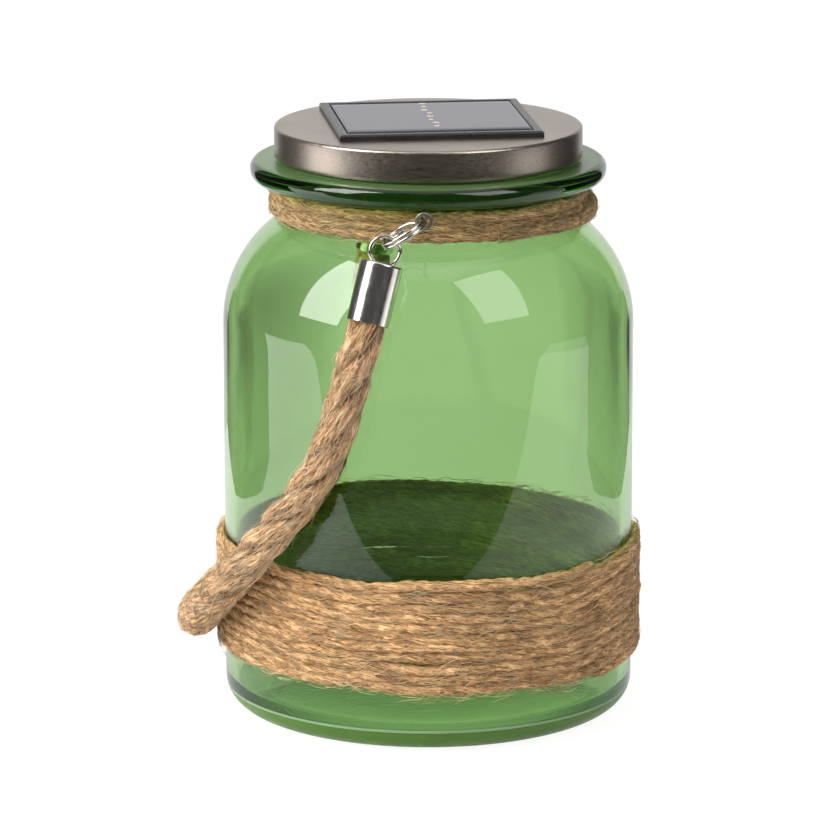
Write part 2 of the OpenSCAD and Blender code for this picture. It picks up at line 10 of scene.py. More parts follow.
import bpy
import numpy as np
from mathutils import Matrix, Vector


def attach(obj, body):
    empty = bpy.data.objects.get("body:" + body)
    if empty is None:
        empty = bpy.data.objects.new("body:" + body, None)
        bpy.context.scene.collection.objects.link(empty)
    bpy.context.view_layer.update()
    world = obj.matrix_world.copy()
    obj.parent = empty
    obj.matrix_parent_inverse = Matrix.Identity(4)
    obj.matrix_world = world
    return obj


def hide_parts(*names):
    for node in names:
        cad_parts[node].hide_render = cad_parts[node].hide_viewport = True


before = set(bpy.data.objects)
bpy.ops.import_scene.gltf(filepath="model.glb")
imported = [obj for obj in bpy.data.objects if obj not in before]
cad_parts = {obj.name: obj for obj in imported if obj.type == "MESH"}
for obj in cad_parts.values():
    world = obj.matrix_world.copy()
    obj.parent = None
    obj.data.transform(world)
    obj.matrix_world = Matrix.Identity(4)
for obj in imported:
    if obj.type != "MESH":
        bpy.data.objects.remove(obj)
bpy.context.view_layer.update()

# %% [markdown]
# ## The camera
# The lantern is seen from a little above, through a long lens, so that its sides stay almost
# parallel. A long lens is set by its focal length, and the small sideways shift frames the jar
# a little right of the middle without turning the camera.

# %% Camera
MM = 0.001
SENSOR = 36.0
IMAGE_PX, FOCAL_PX, JAR_AXIS_PX = 832, 5445.25, 428.32
CAMERA_RAISED, CAMERA_DISTANCE, LOOKED_AT_Z = 13.2188, 1466.3 * MM, 78.535 * MM

camera_data = bpy.data.cameras.new("camera")
camera_data.sensor_width = SENSOR
camera_data.lens = FOCAL_PX * SENSOR / IMAGE_PX
camera_data.shift_x = (IMAGE_PX / 2 - JAR_AXIS_PX) / IMAGE_PX
camera_data.clip_start, camera_data.clip_end = 0.05, 40
camera = bpy.data.objects.new("camera", camera_data)
bpy.context.scene.collection.objects.link(camera)
lift = math.radians(CAMERA_RAISED)
camera.location = Vector((0, 0, LOOKED_AT_Z)) + CAMERA_DISTANCE * Vector((0, -math.cos(lift), math.sin(lift)))
camera.rotation_euler = (math.pi / 2 - lift, 0, 0)
bpy.context.scene.camera = camera
bpy.context.scene.view_settings.view_transform = "Standard"
print("lens", round(camera_data.lens, 1), "mm, distance", round(CAMERA_DISTANCE, 3), "m")

# %% [markdown]
# ## Helpers for meshes
# Almost everything on this lantern is either turned (glass, lid) or runs along a line (rope,
# twine, wire). Two helpers cover both: one turns an outline about the axis, and the other
# sweeps a cross-section along a path. The lantern's sizes are in millimetres and are scaled once,
# in `add_piece`; the floor, the cards and the lamps further down are in metres.

# %% Mesh piece from points and faces
RNG = np.random.default_rng(11)


def new_object(name, points, faces, material):
    mesh = bpy.data.meshes.new(name)
    mesh.from_pydata(points, [], faces)
    mesh.materials.append(material)
    obj = bpy.data.objects.new(name, mesh)
    bpy.context.scene.collection.objects.link(obj)
    return obj, mesh


def add_piece(name, body, points, faces, material, stands_for=(), values=None):
    """A piece of the lantern. values holds numbers or vectors for its points, which finishes read."""
    obj, mesh = new_object(name, (points * MM).tolist(), faces, material)
    mesh.shade_smooth()
    for key, data in (values or {}).items():
        kind = "FLOAT_VECTOR" if np.ndim(data) == 2 else "FLOAT"
        layer = mesh.attributes.new(key, kind, "POINT")
        layer.data.foreach_set("vector" if kind == "FLOAT_VECTOR" else "value",
                               np.asarray(data, np.float32).ravel())
    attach(obj, body)
    if stands_for:
        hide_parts(*stands_for)
    print(name, len(mesh.vertices), "points", len(mesh.polygons), "faces")
    return obj


# %% Curves: a smooth line through chosen points, and its moving axes
def smooth_line(points, step):
    """A curve through chosen points, cut into even steps, and the run along it at each."""
    p = np.asarray(points, float)
    p = np.vstack([2 * p[0] - p[1], p, 2 * p[-1] - p[-2]])
    dense = []
    for a, b, c, d in zip(p[:-3], p[1:-2], p[2:-1], p[3:]):
        t = np.linspace(0, 1, 40, endpoint=False)[:, None]
        dense.append(0.5 * (2 * b + (c - a) * t + (2 * a - 5 * b + 4 * c - d) * t**2
                            + (3 * b - a - 3 * c + d) * t**3))
    return resample(np.vstack([*dense, p[-2:-1]]), step)


def resample(line, step):
    run = np.concatenate([[0], np.cumsum(np.linalg.norm(np.diff(line, axis=0), axis=1))])
    at = np.linspace(0, run[-1], int(round(run[-1] / step)) + 1)
    return np.stack([np.interp(at, run, line[:, k]) for k in range(3)], 1), at


def unit(v):
    return v / np.linalg.norm(v, axis=-1, keepdims=True)


def moving_axes(line, first_side=(1, 0, 0)):
    """Three directions at each point of a line: ahead, and two sides that never twist."""
    ahead = unit(np.gradient(line, axis=0))
    side = np.empty_like(line)
    v = np.asarray(first_side, float)
    for i, t in enumerate(ahead):
        v = v - (v @ t) * t
        v = v / np.linalg.norm(v)
        side[i] = v
    return ahead, side, np.cross(ahead, side)


# %% Skin: closed tube faces over a grid of rings
def tube_faces(rings, sides, first=0):
    """Faces of a tube and its two flat ends; first is the number of its first point."""
    i, k = np.meshgrid(np.arange(rings - 1), np.arange(sides), indexing="ij")
    a = first + i * sides + k
    b = first + i * sides + (k + 1) % sides
    walls = np.stack([a, b, b + sides, a + sides], -1).reshape(-1, 4).tolist()
    start = [first + j for j in range(sides - 1, -1, -1)]
    end = [first + (rings - 1) * sides + j for j in range(sides)]
    return [start, *walls, end]


def tube_points(line, radius, sides, first_side=(1, 0, 0)):
    """radius is one number for each ring, or a grid of rings by sides."""
    side, other = moving_axes(line, first_side)[1:]
    r = np.broadcast_to(radius if np.ndim(radius) == 2 else radius[:, None], (len(line), sides))
    return (line[:, None] + round_about(side, other, sides) * r[:, :, None]).reshape(-1, 3)


def round_about(side, other, sides):
    """Directions all round each point of a line, from its two side directions."""
    turn = np.linspace(0, 2 * np.pi, sides, endpoint=False)[None, :, None]
    return side[:, None] * np.cos(turn) + other[:, None] * np.sin(turn)


LATHE_SIDES, ON_AXIS = 288, 1e-6


def lathe(outline):
    """Turns (radius, height) points about the axis. The outline starts and ends on it, at a pole."""
    sides = LATHE_SIDES
    o = np.asarray(outline, float)
    turn = np.linspace(0, 2 * np.pi, sides, endpoint=False)
    points, ring_at = [], []
    for r, z in o:
        ring_at.append(len(points))
        if r < ON_AXIS:
            points.append((0, 0, z))
        else:
            points.extend((r * math.cos(t), r * math.sin(t), z) for t in turn)
    faces = []
    for i, (a, b) in enumerate(zip(ring_at, ring_at[1:])):
        for k in range(sides):
            m = (k + 1) % sides
            if o[i, 0] < ON_AXIS:
                faces.append((a, b + m, b + k))
            elif o[i + 1, 0] < ON_AXIS:
                faces.append((a + k, a + m, b))
            else:
                faces.append((a + k, a + m, b + m, b + k))
    return np.array(points), faces


def arc(cx, cz, r, a0, a1, n):
    """Points on a circle about (cx, cz), from angle a0 to a1 in degrees, in n steps."""
    a = np.radians(np.linspace(a0, a1, n + 1))
    return list(zip(cx + r * np.cos(a), cz + r * np.sin(a)))


# %% Smooth random values on a grid, for uneven yarns and rows
TABLE_U, TABLE_V = 257, 263


def soft_noise(u, v, seed, wrap=TABLE_U):
    """Smooth noise from -1 to 1 at (u, v). wrap makes it repeat in u."""
    u, v = np.broadcast_arrays(np.asarray(u, float), np.asarray(v, float))
    table = np.random.default_rng(seed).uniform(-1, 1, (TABLE_U, TABLE_V))
    iu, iv = np.floor(u).astype(int), np.floor(v).astype(int)
    fu, fv = u - iu, v - iv
    fu, fv = fu * fu * (3 - 2 * fu), fv * fv * (3 - 2 * fv)

    def at(i, j):
        return table[i % wrap % TABLE_U, j % TABLE_V]

    low = at(iu, iv) * (1 - fu) + at(iu + 1, iv) * fu
    high = at(iu, iv + 1) * (1 - fu) + at(iu + 1, iv + 1) * fu
    return low * (1 - fv) + high * fv


# %% [markdown]
# ## Materials
# Each finish is one small node tree. Rope and twine carry three values from their meshes: `laid`
# gives each point its place on the yarn as if it lay straight, so that a stretched noise draws
# fibres along it, `depth` says how far a point lies in a groove, where the finish paints shade, and
# `tone` makes one yarn paler than the next; on the rope it also paints light and shade along its run.

# %% Node trees
class Tree:
    """The nodes of one finish. A socket is set to a number or a colour, or linked to an output."""

    def __init__(self, owner, bare=False):
        owner.use_nodes = True
        self.nodes, self.links = owner.node_tree.nodes, owner.node_tree.links
        if bare:
            self.nodes.clear()
            kind = "World" if isinstance(owner, bpy.types.World) else "Material"
            self.nodes.new("ShaderNodeOutput" + kind)
        self.shader = self.nodes.get("Principled BSDF")
        self.end = next(node for node in self.nodes if node.type.startswith("OUTPUT"))

    def put(self, node, values):
        for key, value in values.items():
            socket = node.inputs[key]
            if isinstance(value, bpy.types.NodeSocket):
                self.links.new(value, socket)
            else:
                socket.default_value = (*value, 1) if socket.type == "RGBA" else value

    def add(self, kind, values=None, output=0, **settings):
        """Adds a node and gives back one of its outputs."""
        node = self.nodes.new("ShaderNode" + kind)
        for key, value in settings.items():
            setattr(node, key, value)
        self.put(node, values or {})
        return node.outputs[output]

    def ramp(self, value, *stops):
        """Turns a value into a colour. A stop is a place from 0 to 1 and a colour, or one grey level."""
        colour = self.add("ValToRGB", {"Fac": value})
        elements = colour.node.color_ramp.elements
        elements.remove(elements[-1])
        for number, (place, shade) in enumerate(stops):
            stop = elements.new(place) if number else elements[0]
            stop.position = place
            stop.color = (*shade, 1) if isinstance(shade, tuple) else (shade, shade, shade, 1)
        return colour

    def noise(self, place, detail, rough=0.6, scale=1, stretch=None):
        if stretch:
            place = self.add("Mapping", {"Vector": place, "Scale": stretch})
        return self.add("TexNoise", {"Vector": place, "Scale": scale, "Detail": detail, "Roughness": rough})

    def blend(self, a, b, share=1.0, kind="MULTIPLY"):
        return self.add("Mix", {0: share, 6: a, 7: b}, 2, data_type="RGBA", blend_type=kind)

    def mix(self, share, a, b):
        return self.add("MixShader", {0: share, 1: a, 2: b})

    def bump(self, height, distance, strength):
        self.put(self.shader, {"Normal": self.add(
            "Bump", {"Height": height, "Distance": distance, "Strength": strength})})


def new_finish(name, bare=False):
    material = bpy.data.materials.new(name)
    print("finish:", name)
    return material, Tree(material, bare)


# %% Jute: spun plant fibre, for the rope and both windings
def jute(name, pale, middle, dark, groove):
    material, tree = new_finish(name)
    laid = tree.add("Attribute", output="Vector", attribute_name="laid")
    depth = tree.add("Attribute", output="Fac", attribute_name="depth")
    tone = tree.add("Attribute", output="Fac", attribute_name="tone")
    fibres = tree.noise(laid, 4, 0.62, stretch=(3.4, 3.4, 0.22))
    strands = tree.noise(laid, 2, stretch=(1.1, 1.1, 0.10))
    patches = tree.noise(laid, 2, stretch=(0.1, 0.1, 0.07))
    colour = tree.ramp(fibres, (0.385, dark), (0.475, middle), (0.575, pale))
    shaded = tree.ramp(strands, (0.38, (0.42, 0.36, 0.29)), (0.50, 1.0))
    colour = tree.blend(colour, shaded, 0.75)
    colour = tree.blend(colour, tree.ramp(patches, (0.3, (0.93, 0.90, 0.86)), (0.7, (1.0, 0.99, 0.97))))
    yarns = tree.ramp(tone, (0.1, (0.60, 0.55, 0.49)), (0.5, (0.92, 0.90, 0.87)), (0.95, 1.16))
    colour = tree.blend(colour, yarns)
    # Painted shade: grooves, dents and the twine's inward side are darkened towards the groove colour, by
    # depth.
    unshaded_share = tree.ramp(depth, (0.05, 0), (0.50, 1))
    tree.put(tree.shader, {"Base Color": tree.blend(groove, colour, unshaded_share, "MIX"), "Roughness": 0.82,
                           "Specular IOR Level": 0.25, "Sheen Weight": 0.15, "Sheen Roughness": 0.5})
    tree.bump(fibres, 0.00022, 0.9)
    return material


rope_jute = jute("rope_jute", pale=(1.0, 0.735, 0.45), middle=(0.90, 0.515, 0.245),
                 dark=(0.26, 0.13, 0.052), groove=(0.11, 0.058, 0.024))
twine_jute = jute("twine_jute", pale=(1.0, 0.69, 0.37), middle=(0.78, 0.43, 0.182),
                  dark=(0.25, 0.128, 0.044), groove=(0.11, 0.06, 0.020))
# The neck's jute is darker than the foot's: painted shade for the shadow under the flange.
neck_jute_painted_shade = jute("neck_jute_painted_shade", pale=(0.74, 0.52, 0.26), middle=(0.50, 0.29, 0.115),
                 dark=(0.17, 0.088, 0.030), groove=(0.07, 0.038, 0.013))


# %% [markdown]
# ## Loose fibres
# Jute is hairy, and its fibres catch the light along every edge. Blender's hair would do, but it
# is lost when the model leaves Blender. So each fibre is a thin three-sided tube of real mesh, and
# thousands of them share one piece and one finish, which reads a tone from each fibre.

# %% Finish of the fibres
def loose_fibre(name, pale, dark):
    material, tree = new_finish(name)
    tone = tree.add("Attribute", output="Fac", attribute_name="tone")
    tree.put(tree.shader, {"Base Color": tree.ramp(tone, (0.0, dark), (1.0, pale)), "Roughness": 0.6,
                           "Specular IOR Level": 0.4})
    return material


rope_fibre = loose_fibre("rope_fibre", pale=(1.0, 0.80, 0.54), dark=(0.28, 0.15, 0.06))
twine_fibre = loose_fibre("twine_fibre", pale=(1.0, 0.76, 0.44), dark=(0.32, 0.17, 0.06))
# The neck's fibres are darker too: the same painted shade.
neck_fibre_painted_shade = loose_fibre("neck_fibre_painted_shade", pale=(0.82, 0.62, 0.35), dark=(0.22, 0.12, 0.04))


# %% Many thin fibres in one mesh
def fibre_mesh(starts, steps, thickness, tones):
    """starts and steps give each fibre's points: an array of fibres by points by 3."""
    lines = starts[:, None] + np.cumsum(steps, axis=1)
    count, joints = lines.shape[:2]
    ahead = unit(np.gradient(lines, axis=1))
    side = unit(np.cross(ahead, unit(RNG.normal(size=(count, 1, 3)))))
    other = np.cross(ahead, side)
    taper = np.interp(np.linspace(0, 1, joints), [0, 0.15, 0.8, 1], [0.5, 1, 0.8, 0.25])
    turn = np.radians([0, 120, 240])
    r = thickness[:, None] * taper[None]
    out = side[:, :, None] * np.cos(turn)[:, None] + other[:, :, None] * np.sin(turn)[:, None]
    points = (lines[:, :, None] + out * r[:, :, None, None]).reshape(-1, 3)
    base = (np.arange(count) * joints * 3)[:, None, None]
    j, k = np.meshgrid(np.arange(joints - 1), np.arange(3), indexing="ij")
    a = base + j * 3 + k
    b = base + j * 3 + (k + 1) % 3
    walls = np.stack([a, b, b + 3, a + 3], -1).reshape(-1, 4).tolist()
    first = base[:, 0, 0]
    last = first + (joints - 1) * 3
    ends = np.concatenate([np.stack([first + 2, first + 1, first], 1),
                           np.stack([last, last + 1, last + 2], 1)]).tolist()
    return points, walls + ends, np.repeat(tones, joints * 3)


# %% [markdown]
# ## The rope handle
# The handle is a soft three-strand jute rope, 10.4 mm thick. Its strands are laid to the right,
# so their grooves climb to the right like the middle stroke of a Z, while the yarns in them run
# almost along the rope. A displaced plain tube would need a texture for this, so the strands are
# built into the cross-section itself, which turns as it travels: the outline, the grooves and
# the yarn ridges are then real geometry, and the silhouette is right from every side.

# %% Where the rope runs
ring_pin = np.array([-11.4716, -54.6, 136.4681])
cap_top = ring_pin + [-0.5, 0.3, -4.9]
cap_mouth = ring_pin + [-4.2, -3.4, -19.8]
cap_axis = unit(cap_mouth - cap_top)
mirror_y = np.array([1, -1, 1])
rope_front = [
    (-16.5, -58.5, 113.5), (-17.5, -58.6, 110), (-19.4, -58.2, 104), (-21.8, -57.4, 95),
    (-24.6, -56.2, 86), (-27.3, -54.9, 79), (-30.3, -53.3, 73), (-34.9, -51.1, 66),
    (-40.2, -48.4, 59), (-45, -44.4, 52.5), (-49.9, -38.8, 45.5), (-55, -31.1, 38),
    (-59.1, -22.1, 31.5), (-61.8, -12, 26), (-62.7, -6, 24.2), (-63, 0, 23.5),
]
rope_back = [
    (-16.2, 58.6, 113.5), (-16.5, 59, 110), (-16.8, 59.4, 104), (-17.2, 59.4, 96),
    (-18.4, 59, 88), (-20.8, 58.4, 79), (-23.6, 57.6, 69), (-26.8, 56.4, 59),
    (-30.6, 55, 50.5), (-35.2, 52.2, 43.5), (-40.6, 48.1, 37.5), (-46, 43, 33),
    (-51, 36.9, 29), (-55.6, 29.5, 26), (-59.4, 20.8, 23.8), (-62.1, 10.4, 23),
]
inside_cap = [cap_top + 3.2 * cap_axis, cap_mouth - 0.5 * cap_axis]
rope_route = [*inside_cap, *rope_front, *rope_back[::-1], *[p * mirror_y for p in inside_cap[::-1]]]
ROPE_STEP = 0.6
rope_line, rope_run = smooth_line(rope_route, ROPE_STEP)
rope_length = rope_run[-1]
print("rope:", round(rope_length, 1), "mm from end to end,", len(rope_line), "rings")

# %% The laid cross-section
ROPE_R, ROPE_LAY, YARN_LEAN, YARNS = 5.2, 36.0, math.radians(15), 30
ROPE_SIDES, STRAND_OFF, GROOVE_R, PAINTED_LIGHT_RUN = 128, 0.38, 0.71, 0.34


def laid_outline(run, turn):
    """The rope at a run along it and a turn round it: its radius, its depth (0 in a groove), the
    angle at which its yarn starts, and its tone, which also holds painted light: darker near the
    front cap, paler further along."""
    in_strands = turn - 2 * np.pi * run / ROPE_LAY
    share = in_strands * 3 / (2 * np.pi)
    strand = np.floor(share)
    off = (share - strand - 0.5) * 2 * np.pi / 3
    centre, strand_r = STRAND_OFF * ROPE_R, (1 - STRAND_OFF) * ROPE_R
    outline = centre * np.cos(off) + np.sqrt(strand_r**2 - (centre * np.sin(off)) ** 2)
    yarn_at = turn - run * math.tan(YARN_LEAN) / ROPE_R + 0.9 * (strand % 3)
    across = yarn_at / (2 * np.pi) * YARNS
    wander = 0.45 * soft_noise(across * 0.5, run / 6, 3, YARNS // 2)
    ridge = np.abs(np.sin(np.pi * (across + wander)))
    swell = soft_noise(across, run / 4.5, 5, YARNS)
    fine = soft_noise(across * 3, run / 1.6, 8, YARNS * 3)
    clump = soft_noise(across * 1.5, run / 2.6, 9, YARNS * 3 // 2)
    holes = np.clip(-clump - 0.2, 0, 1)
    r = outline + 0.24 * (ridge - 0.7) + 0.18 * swell + 0.09 * fine + 0.14 * clump - 0.55 * holes - 0.10
    low = GROOVE_R * ROPE_R
    # depth is 0 in grooves and dents and 1 on top; the jute finish paints shade by it.
    depth = 0.65 * np.clip((outline - low) / (ROPE_R - low), 0, 1) + 0.35 * np.clip(ridge * 1.3 - 0.2, 0, 1)
    depth = np.clip(depth - 0.6 * holes, 0, 1)
    # Painted light and shade: tone rises from the end in the front cap to 250 mm along the rope, so the front
    # run is darker at the top and paler lower down.
    painted_light = PAINTED_LIGHT_RUN * np.clip(run / 250 * 2 - 1, -1, 1)
    return r, depth, yarn_at, 0.5 + painted_light + 0.42 * np.clip(1.2 * swell + 0.5 * clump, -1, 1)


turn = np.linspace(0, 2 * np.pi, ROPE_SIDES, endpoint=False)[None]
rope_r, rope_depth, yarn_at, rope_tone = laid_outline(rope_run[:, None], turn)
from_end = np.minimum(rope_run, rope_length - rope_run)
squeeze = np.interp(from_end, [11.5, 15.5], [4.85 / ROPE_R, 1])[:, None]
rope_r = np.minimum(rope_r, ROPE_R + 0.1) * squeeze
rope_points = tube_points(rope_line, rope_r, ROPE_SIDES)
rope_laid = np.stack([rope_r * np.cos(yarn_at), rope_r * np.sin(yarn_at),
                      np.broadcast_to(rope_run[:, None], rope_r.shape)], -1).reshape(-1, 3)
rope = add_piece("rope", "handle", rope_points, tube_faces(len(rope_line), ROPE_SIDES),
                 rope_jute, ["rope_handle"],
                 {"laid": rope_laid, "depth": rope_depth.ravel(), "tone": rope_tone.ravel()})


# %% Loose fibres that stand off a yarn
FIBRE_JOINTS, SUNK = 5, 0.08


def fibres_on(line, run, surface, count, lean, spread, long, lift, thick, keep):
    """Fibres that leave the surface of a tube, follow it for a while and end in the air. long and
    thick are ranges in mm, lift is how far they rise, and keep picks the fibres that stay."""
    side, other = moving_axes(line)[1:]

    def at(values, s):
        return np.stack([np.interp(s, run, values[:, k]) for k in range(3)], -1)

    from_run = RNG.uniform(run[0], run[-1], count)
    from_turn = RNG.uniform(0, 2 * np.pi, count)
    length = long[0] + (long[1] - long[0]) * RNG.beta(1.2, 2.6, count)
    slant = lean + RNG.normal(0, spread, count)
    sense = RNG.choice([-1, 1], count)
    rise = lift * RNG.beta(1.1, 3.0, count) * (0.4 + length / long[1])
    t = np.linspace(0, 1, FIBRE_JOINTS)[None]
    curl = RNG.normal(0, 0.35, (count, 1)) * t**1.5 * length[:, None] * 0.5
    s = from_run[:, None] + sense[:, None] * length[:, None] * np.cos(slant)[:, None] * t
    s = np.clip(s, run[0] + 0.1, run[-1] - 0.1)
    middle_r = surface(from_run[:, None], from_turn[:, None])
    across = sense[:, None] * (length[:, None] * np.sin(slant)[:, None] * t + curl)
    a = from_turn[:, None] + across / middle_r
    r = surface(s, a)
    arch = np.sin(np.pi * np.minimum(t * 0.9, 0.9)) * 0.5 + t**2
    r = r - SUNK + rise[:, None] * arch
    out = at(side, s) * np.cos(a)[..., None] + at(other, s) * np.sin(a)[..., None]
    points = at(line, s) + r[..., None] * out
    points += RNG.normal(0, 0.05, points.shape) * t[..., None]
    thickness = RNG.uniform(*thick, count)
    kept = keep(from_run, points)
    points = points[kept]
    return points[:, 0], np.diff(points, axis=1, prepend=points[:, :1]), thickness[kept]


def rope_surface(s, a):
    return np.minimum(laid_outline(s, a)[0], ROPE_R)


def rope_hull(s, a):
    return np.clip(laid_outline(s, a)[0], 0.93 * ROPE_R, ROPE_R)


IN_CAP = 17


def outside_caps(start, points):
    return (start > IN_CAP) & (start < rope_length - IN_CAP)


def fibre_piece(name, body, slot, material, *groups):
    starts, steps, thick = (np.concatenate(g) for g in zip(*groups))
    points, faces, tones = fibre_mesh(starts, steps, thick, RNG.uniform(0, 1, len(starts)))
    return add_piece(name, body, points, faces, material, (), {"tone": tones})


rope_fibres = [
    fibre_piece(name, "handle", "rope", rope_fibre,
                fibres_on(rope_line, rope_run, surface, count, YARN_LEAN, spread, long, lift, thick,
                          outside_caps))
    for name, surface, count, spread, long, lift, thick in (
        ("rope_fibres_lying", rope_surface, 6200, 0.26, (2.5, 8), 0.30, (0.06, 0.13)),
        ("rope_fibres_bridging", rope_hull, 2200, 0.40, (3, 10), 0.35, (0.05, 0.11)),
        ("rope_fibres_loose", rope_surface, 4200, 0.60, (3, 11), 1.7, (0.035, 0.075)))
]

# %% [markdown]
# ## End caps and wire rings
# Each end of the rope is pushed into a drawn steel cap, plated bright, with a small closed ring
# through its top. A split ring joins that to the eye under the flange. The caps are CAD pieces
# with true curves, so they only need a finish; the rings are swept again here as round wire.

# %% Bright plated steel
def plated(name, colour, rough, scratch):
    material, tree = new_finish(name)
    here = tree.add("TexCoord", output="Object")
    marks = tree.noise(here, 5, 0.7, stretch=(900, 900, 260))
    gloss = tree.ramp(marks, (0.35, rough), (0.75, rough + scratch))
    tree.put(tree.shader, {"Base Color": colour, "Roughness": gloss, "Metallic": 1})
    tree.bump(marks, 0.00002, 0.25)
    return material


cap_chrome = plated("cap_chrome", (0.68, 0.655, 0.61), rough=0.15, scratch=0.14)
ring_nickel = plated("ring_nickel", (0.66, 0.62, 0.56), rough=0.12, scratch=0.12)
wire_steel = plated("wire_steel", (0.24, 0.23, 0.19), rough=0.34, scratch=0.15)


# %% Split rings and small closed rings
WIRE_SIDES, TIP = 20, 0.6


def wire_piece(name, body, line, wire_r, node, closed=False):
    centre = line.mean(0)
    if closed:
        axis = unit(np.cross(line[0] - centre, line[len(line) // 4] - centre))
        out = round_about(unit(line - centre), axis[None], WIRE_SIDES)
        points = (line[:, None] + wire_r * out).reshape(-1, 3)
        n = len(line)
        i, k = np.meshgrid(np.arange(n), np.arange(WIRE_SIDES), indexing="ij")
        beside, following = (k + 1) % WIRE_SIDES, (i + 1) % n * WIRE_SIDES
        ring = i * WIRE_SIDES
        faces = np.stack([ring + k, following + k, following + beside, ring + beside], -1)
        faces = faces.reshape(-1, 4).tolist()
    else:
        radius = np.full(len(line), wire_r)
        radius[[0, -1]] *= TIP
        points = tube_points(line, radius, WIRE_SIDES, line[0] - centre)
        faces = tube_faces(len(line), WIRE_SIDES)
    return add_piece(name, body, points, faces, ring_nickel, [node])


hinge = np.array([-1.1, -54.6, 142.7])
LINK_R, LINK_WIRE_R, LINK_LEAN, LINK_START = 6.05, 0.5, 59, 120
HALF_STEP, HALF_RISE = 25.0, 0.52
angles = np.arange(HALF_STEP, 720 - HALF_STEP + 0.1, 6)
step_share = np.clip((angles - 360 + HALF_STEP) / (2 * HALF_STEP), 0, 1)
step_share = step_share**2 * (3 - 2 * step_share)
print("split ring: two turns,", round(4 * math.pi * LINK_R, 1), "mm of wire")


def turned(points, axis, degrees):
    c, s = math.cos(math.radians(degrees)), math.sin(math.radians(degrees))
    x, y, z = np.moveaxis(points, -1, 0)
    if axis == "y":
        return np.stack([x * c + z * s, y, -x * s + z * c], -1)
    return np.stack([x * c - y * s, x * s + y * c, z], -1)


loop = np.stack([LINK_R * np.cos(np.radians(angles)), LINK_R * np.sin(np.radians(angles)),
                 HALF_RISE * (2 * step_share - 1)], -1)
loop = turned(turned(loop, "z", LINK_START), "y", 90) - [0, 0, LINK_R]
loop = turned(loop, "y", LINK_LEAN) + hinge
wire_piece("split_ring_front", "front_ring", loop, LINK_WIRE_R, "link_front")
wire_piece("split_ring_back", "back_ring", (loop * mirror_y)[::-1], LINK_WIRE_R, "link_back")


SMALL_RING_R, SMALL_WIRE_R = 3.85, 0.55


def closed_ring_of(node):
    """The centre line of a flat ring, read from its CAD node's own points."""
    co = np.array([v.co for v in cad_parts[node].data.vertices]) / MM
    axes = np.linalg.svd(co - co.mean(0), full_matrices=False)[2]
    a = np.linspace(0, 2 * np.pi, 72, endpoint=False)[:, None]
    return co.mean(0) + SMALL_RING_R * (axes[0] * np.cos(a) + axes[1] * np.sin(a))


ring_pieces = [wire_piece("cap_ring_" + end, "handle", closed_ring_of("bail_" + end), SMALL_WIRE_R,
                          "bail_" + end, closed=True)
               for end in ("front", "back")]

# %% [markdown]
# The rope runs its real length: it leaves one end cap and goes back into the other. The caps are
# given their plated finish; the small rings and the loose fibres hang from the handle with the rope.

def give_finish(node, finish):
    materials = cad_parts[node].data.materials
    materials.clear()
    materials.append(finish)


caps = ["ferrule_front", "ferrule_back"]
for node in caps:
    give_finish(node, cap_chrome)
print("rope declared:", round(rope_length), "mm long")

# %% [markdown]
# ## Twine round the foot and the neck
# Both windings are the same thin two-ply jute twine. Round the foot it runs eleven turns, one on
# the next, and its ends are tucked under. It is swept along one long helix whose rows wander a
# little, as hand winding does, and flattened where it lies on the glass.

# %% Twine along a helix
TWINE_R, TWINE_SIDES, TWINE_LAY = 1.62, 16, 8.0


def twine_outline(run, turn, seed):
    ply = turn + 2 * np.pi * run / TWINE_LAY
    hairs = turn - run * 0.12
    r = TWINE_R * (0.93 + 0.08 * np.cos(2 * ply))
    r = r * (1 + 0.12 * soft_noise(run / 9, run / 31, seed + 2))
    clump = soft_noise(hairs * 12 / (2 * np.pi), run / 1.9, seed + 1, 12)
    r = r + 0.14 * soft_noise(ply * 8 / (2 * np.pi), run / 2.2, seed, 8) + 0.16 * clump
    return r, hairs, 0.5 + 0.5 * np.clip(0.8 * clump + 0.7 * soft_noise(run / 5, run / 37, seed + 3), -1, 1)


def twine_tube(line, run, seed, inner_r):
    turn = np.linspace(0, 2 * np.pi, TWINE_SIDES, endpoint=False)[None]
    r, hairs, tone = twine_outline(run[:, None], turn, seed)
    ends = np.minimum(run, run[-1] - run)[:, None]
    r = r * np.interp(ends, [0, 3], [0.35, 1])
    points = tube_points(line, r, TWINE_SIDES, (0, 0, 1)).reshape(len(line), TWINE_SIDES, 3)
    flat = np.hypot(points[..., 0], points[..., 1])
    push = np.maximum(1, inner_r / flat)[..., None]
    points = np.concatenate([points[..., :2] * push, points[..., 2:]], -1)
    # depth is lowest on the side towards the glass; the jute finish paints shade there.
    depth = np.clip(0.5 + (np.hypot(points[..., 0], points[..., 1])
                           - np.hypot(line[:, 0], line[:, 1])[:, None]) / TWINE_R * 0.62, 0, 1)
    laid = np.stack([r * np.cos(hairs), r * np.sin(hairs), np.broadcast_to(run[:, None], r.shape)], -1)
    laid = laid + np.array([0, 0, seed * 31.0])
    return points.reshape(-1, 3), {"depth": depth.ravel(), "laid": laid.reshape(-1, 3),
                                   "tone": tone.ravel()}


def round_jar(angle, radius, height):
    return np.stack([radius * np.cos(angle), radius * np.sin(angle), height], -1)


# %% How the foot winding has settled: lower in front, its edges not quite level
def settled(angle, share):
    """Height in mm added at an angle round the jar; share is 0 at the winding's foot, 1 at its top."""
    front = np.degrees((angle + np.pi / 2 + np.pi) % (2 * np.pi) - np.pi)
    sunk = -1.7 * np.clip(np.cos(np.radians(front)) + 0.25, 0, 1)
    low = np.interp(front, [-90, -60, -18, -2, 30, 42, 54, 64, 78, 95],
                    [0, 1.1, 1.2, -0.6, -0.9, -1.6, 0, 0.6, 0.3, 0])
    high = np.interp(front, [-30, -17, -5, 10, 29, 42, 53, 62, 72, 82, 100],
                     [0, -1.0, 0.2, 0, -1.0, -0.9, 0.8, 1.5, 1.9, 1.2, 0])
    return sunk + low * (1 - share) + high * share


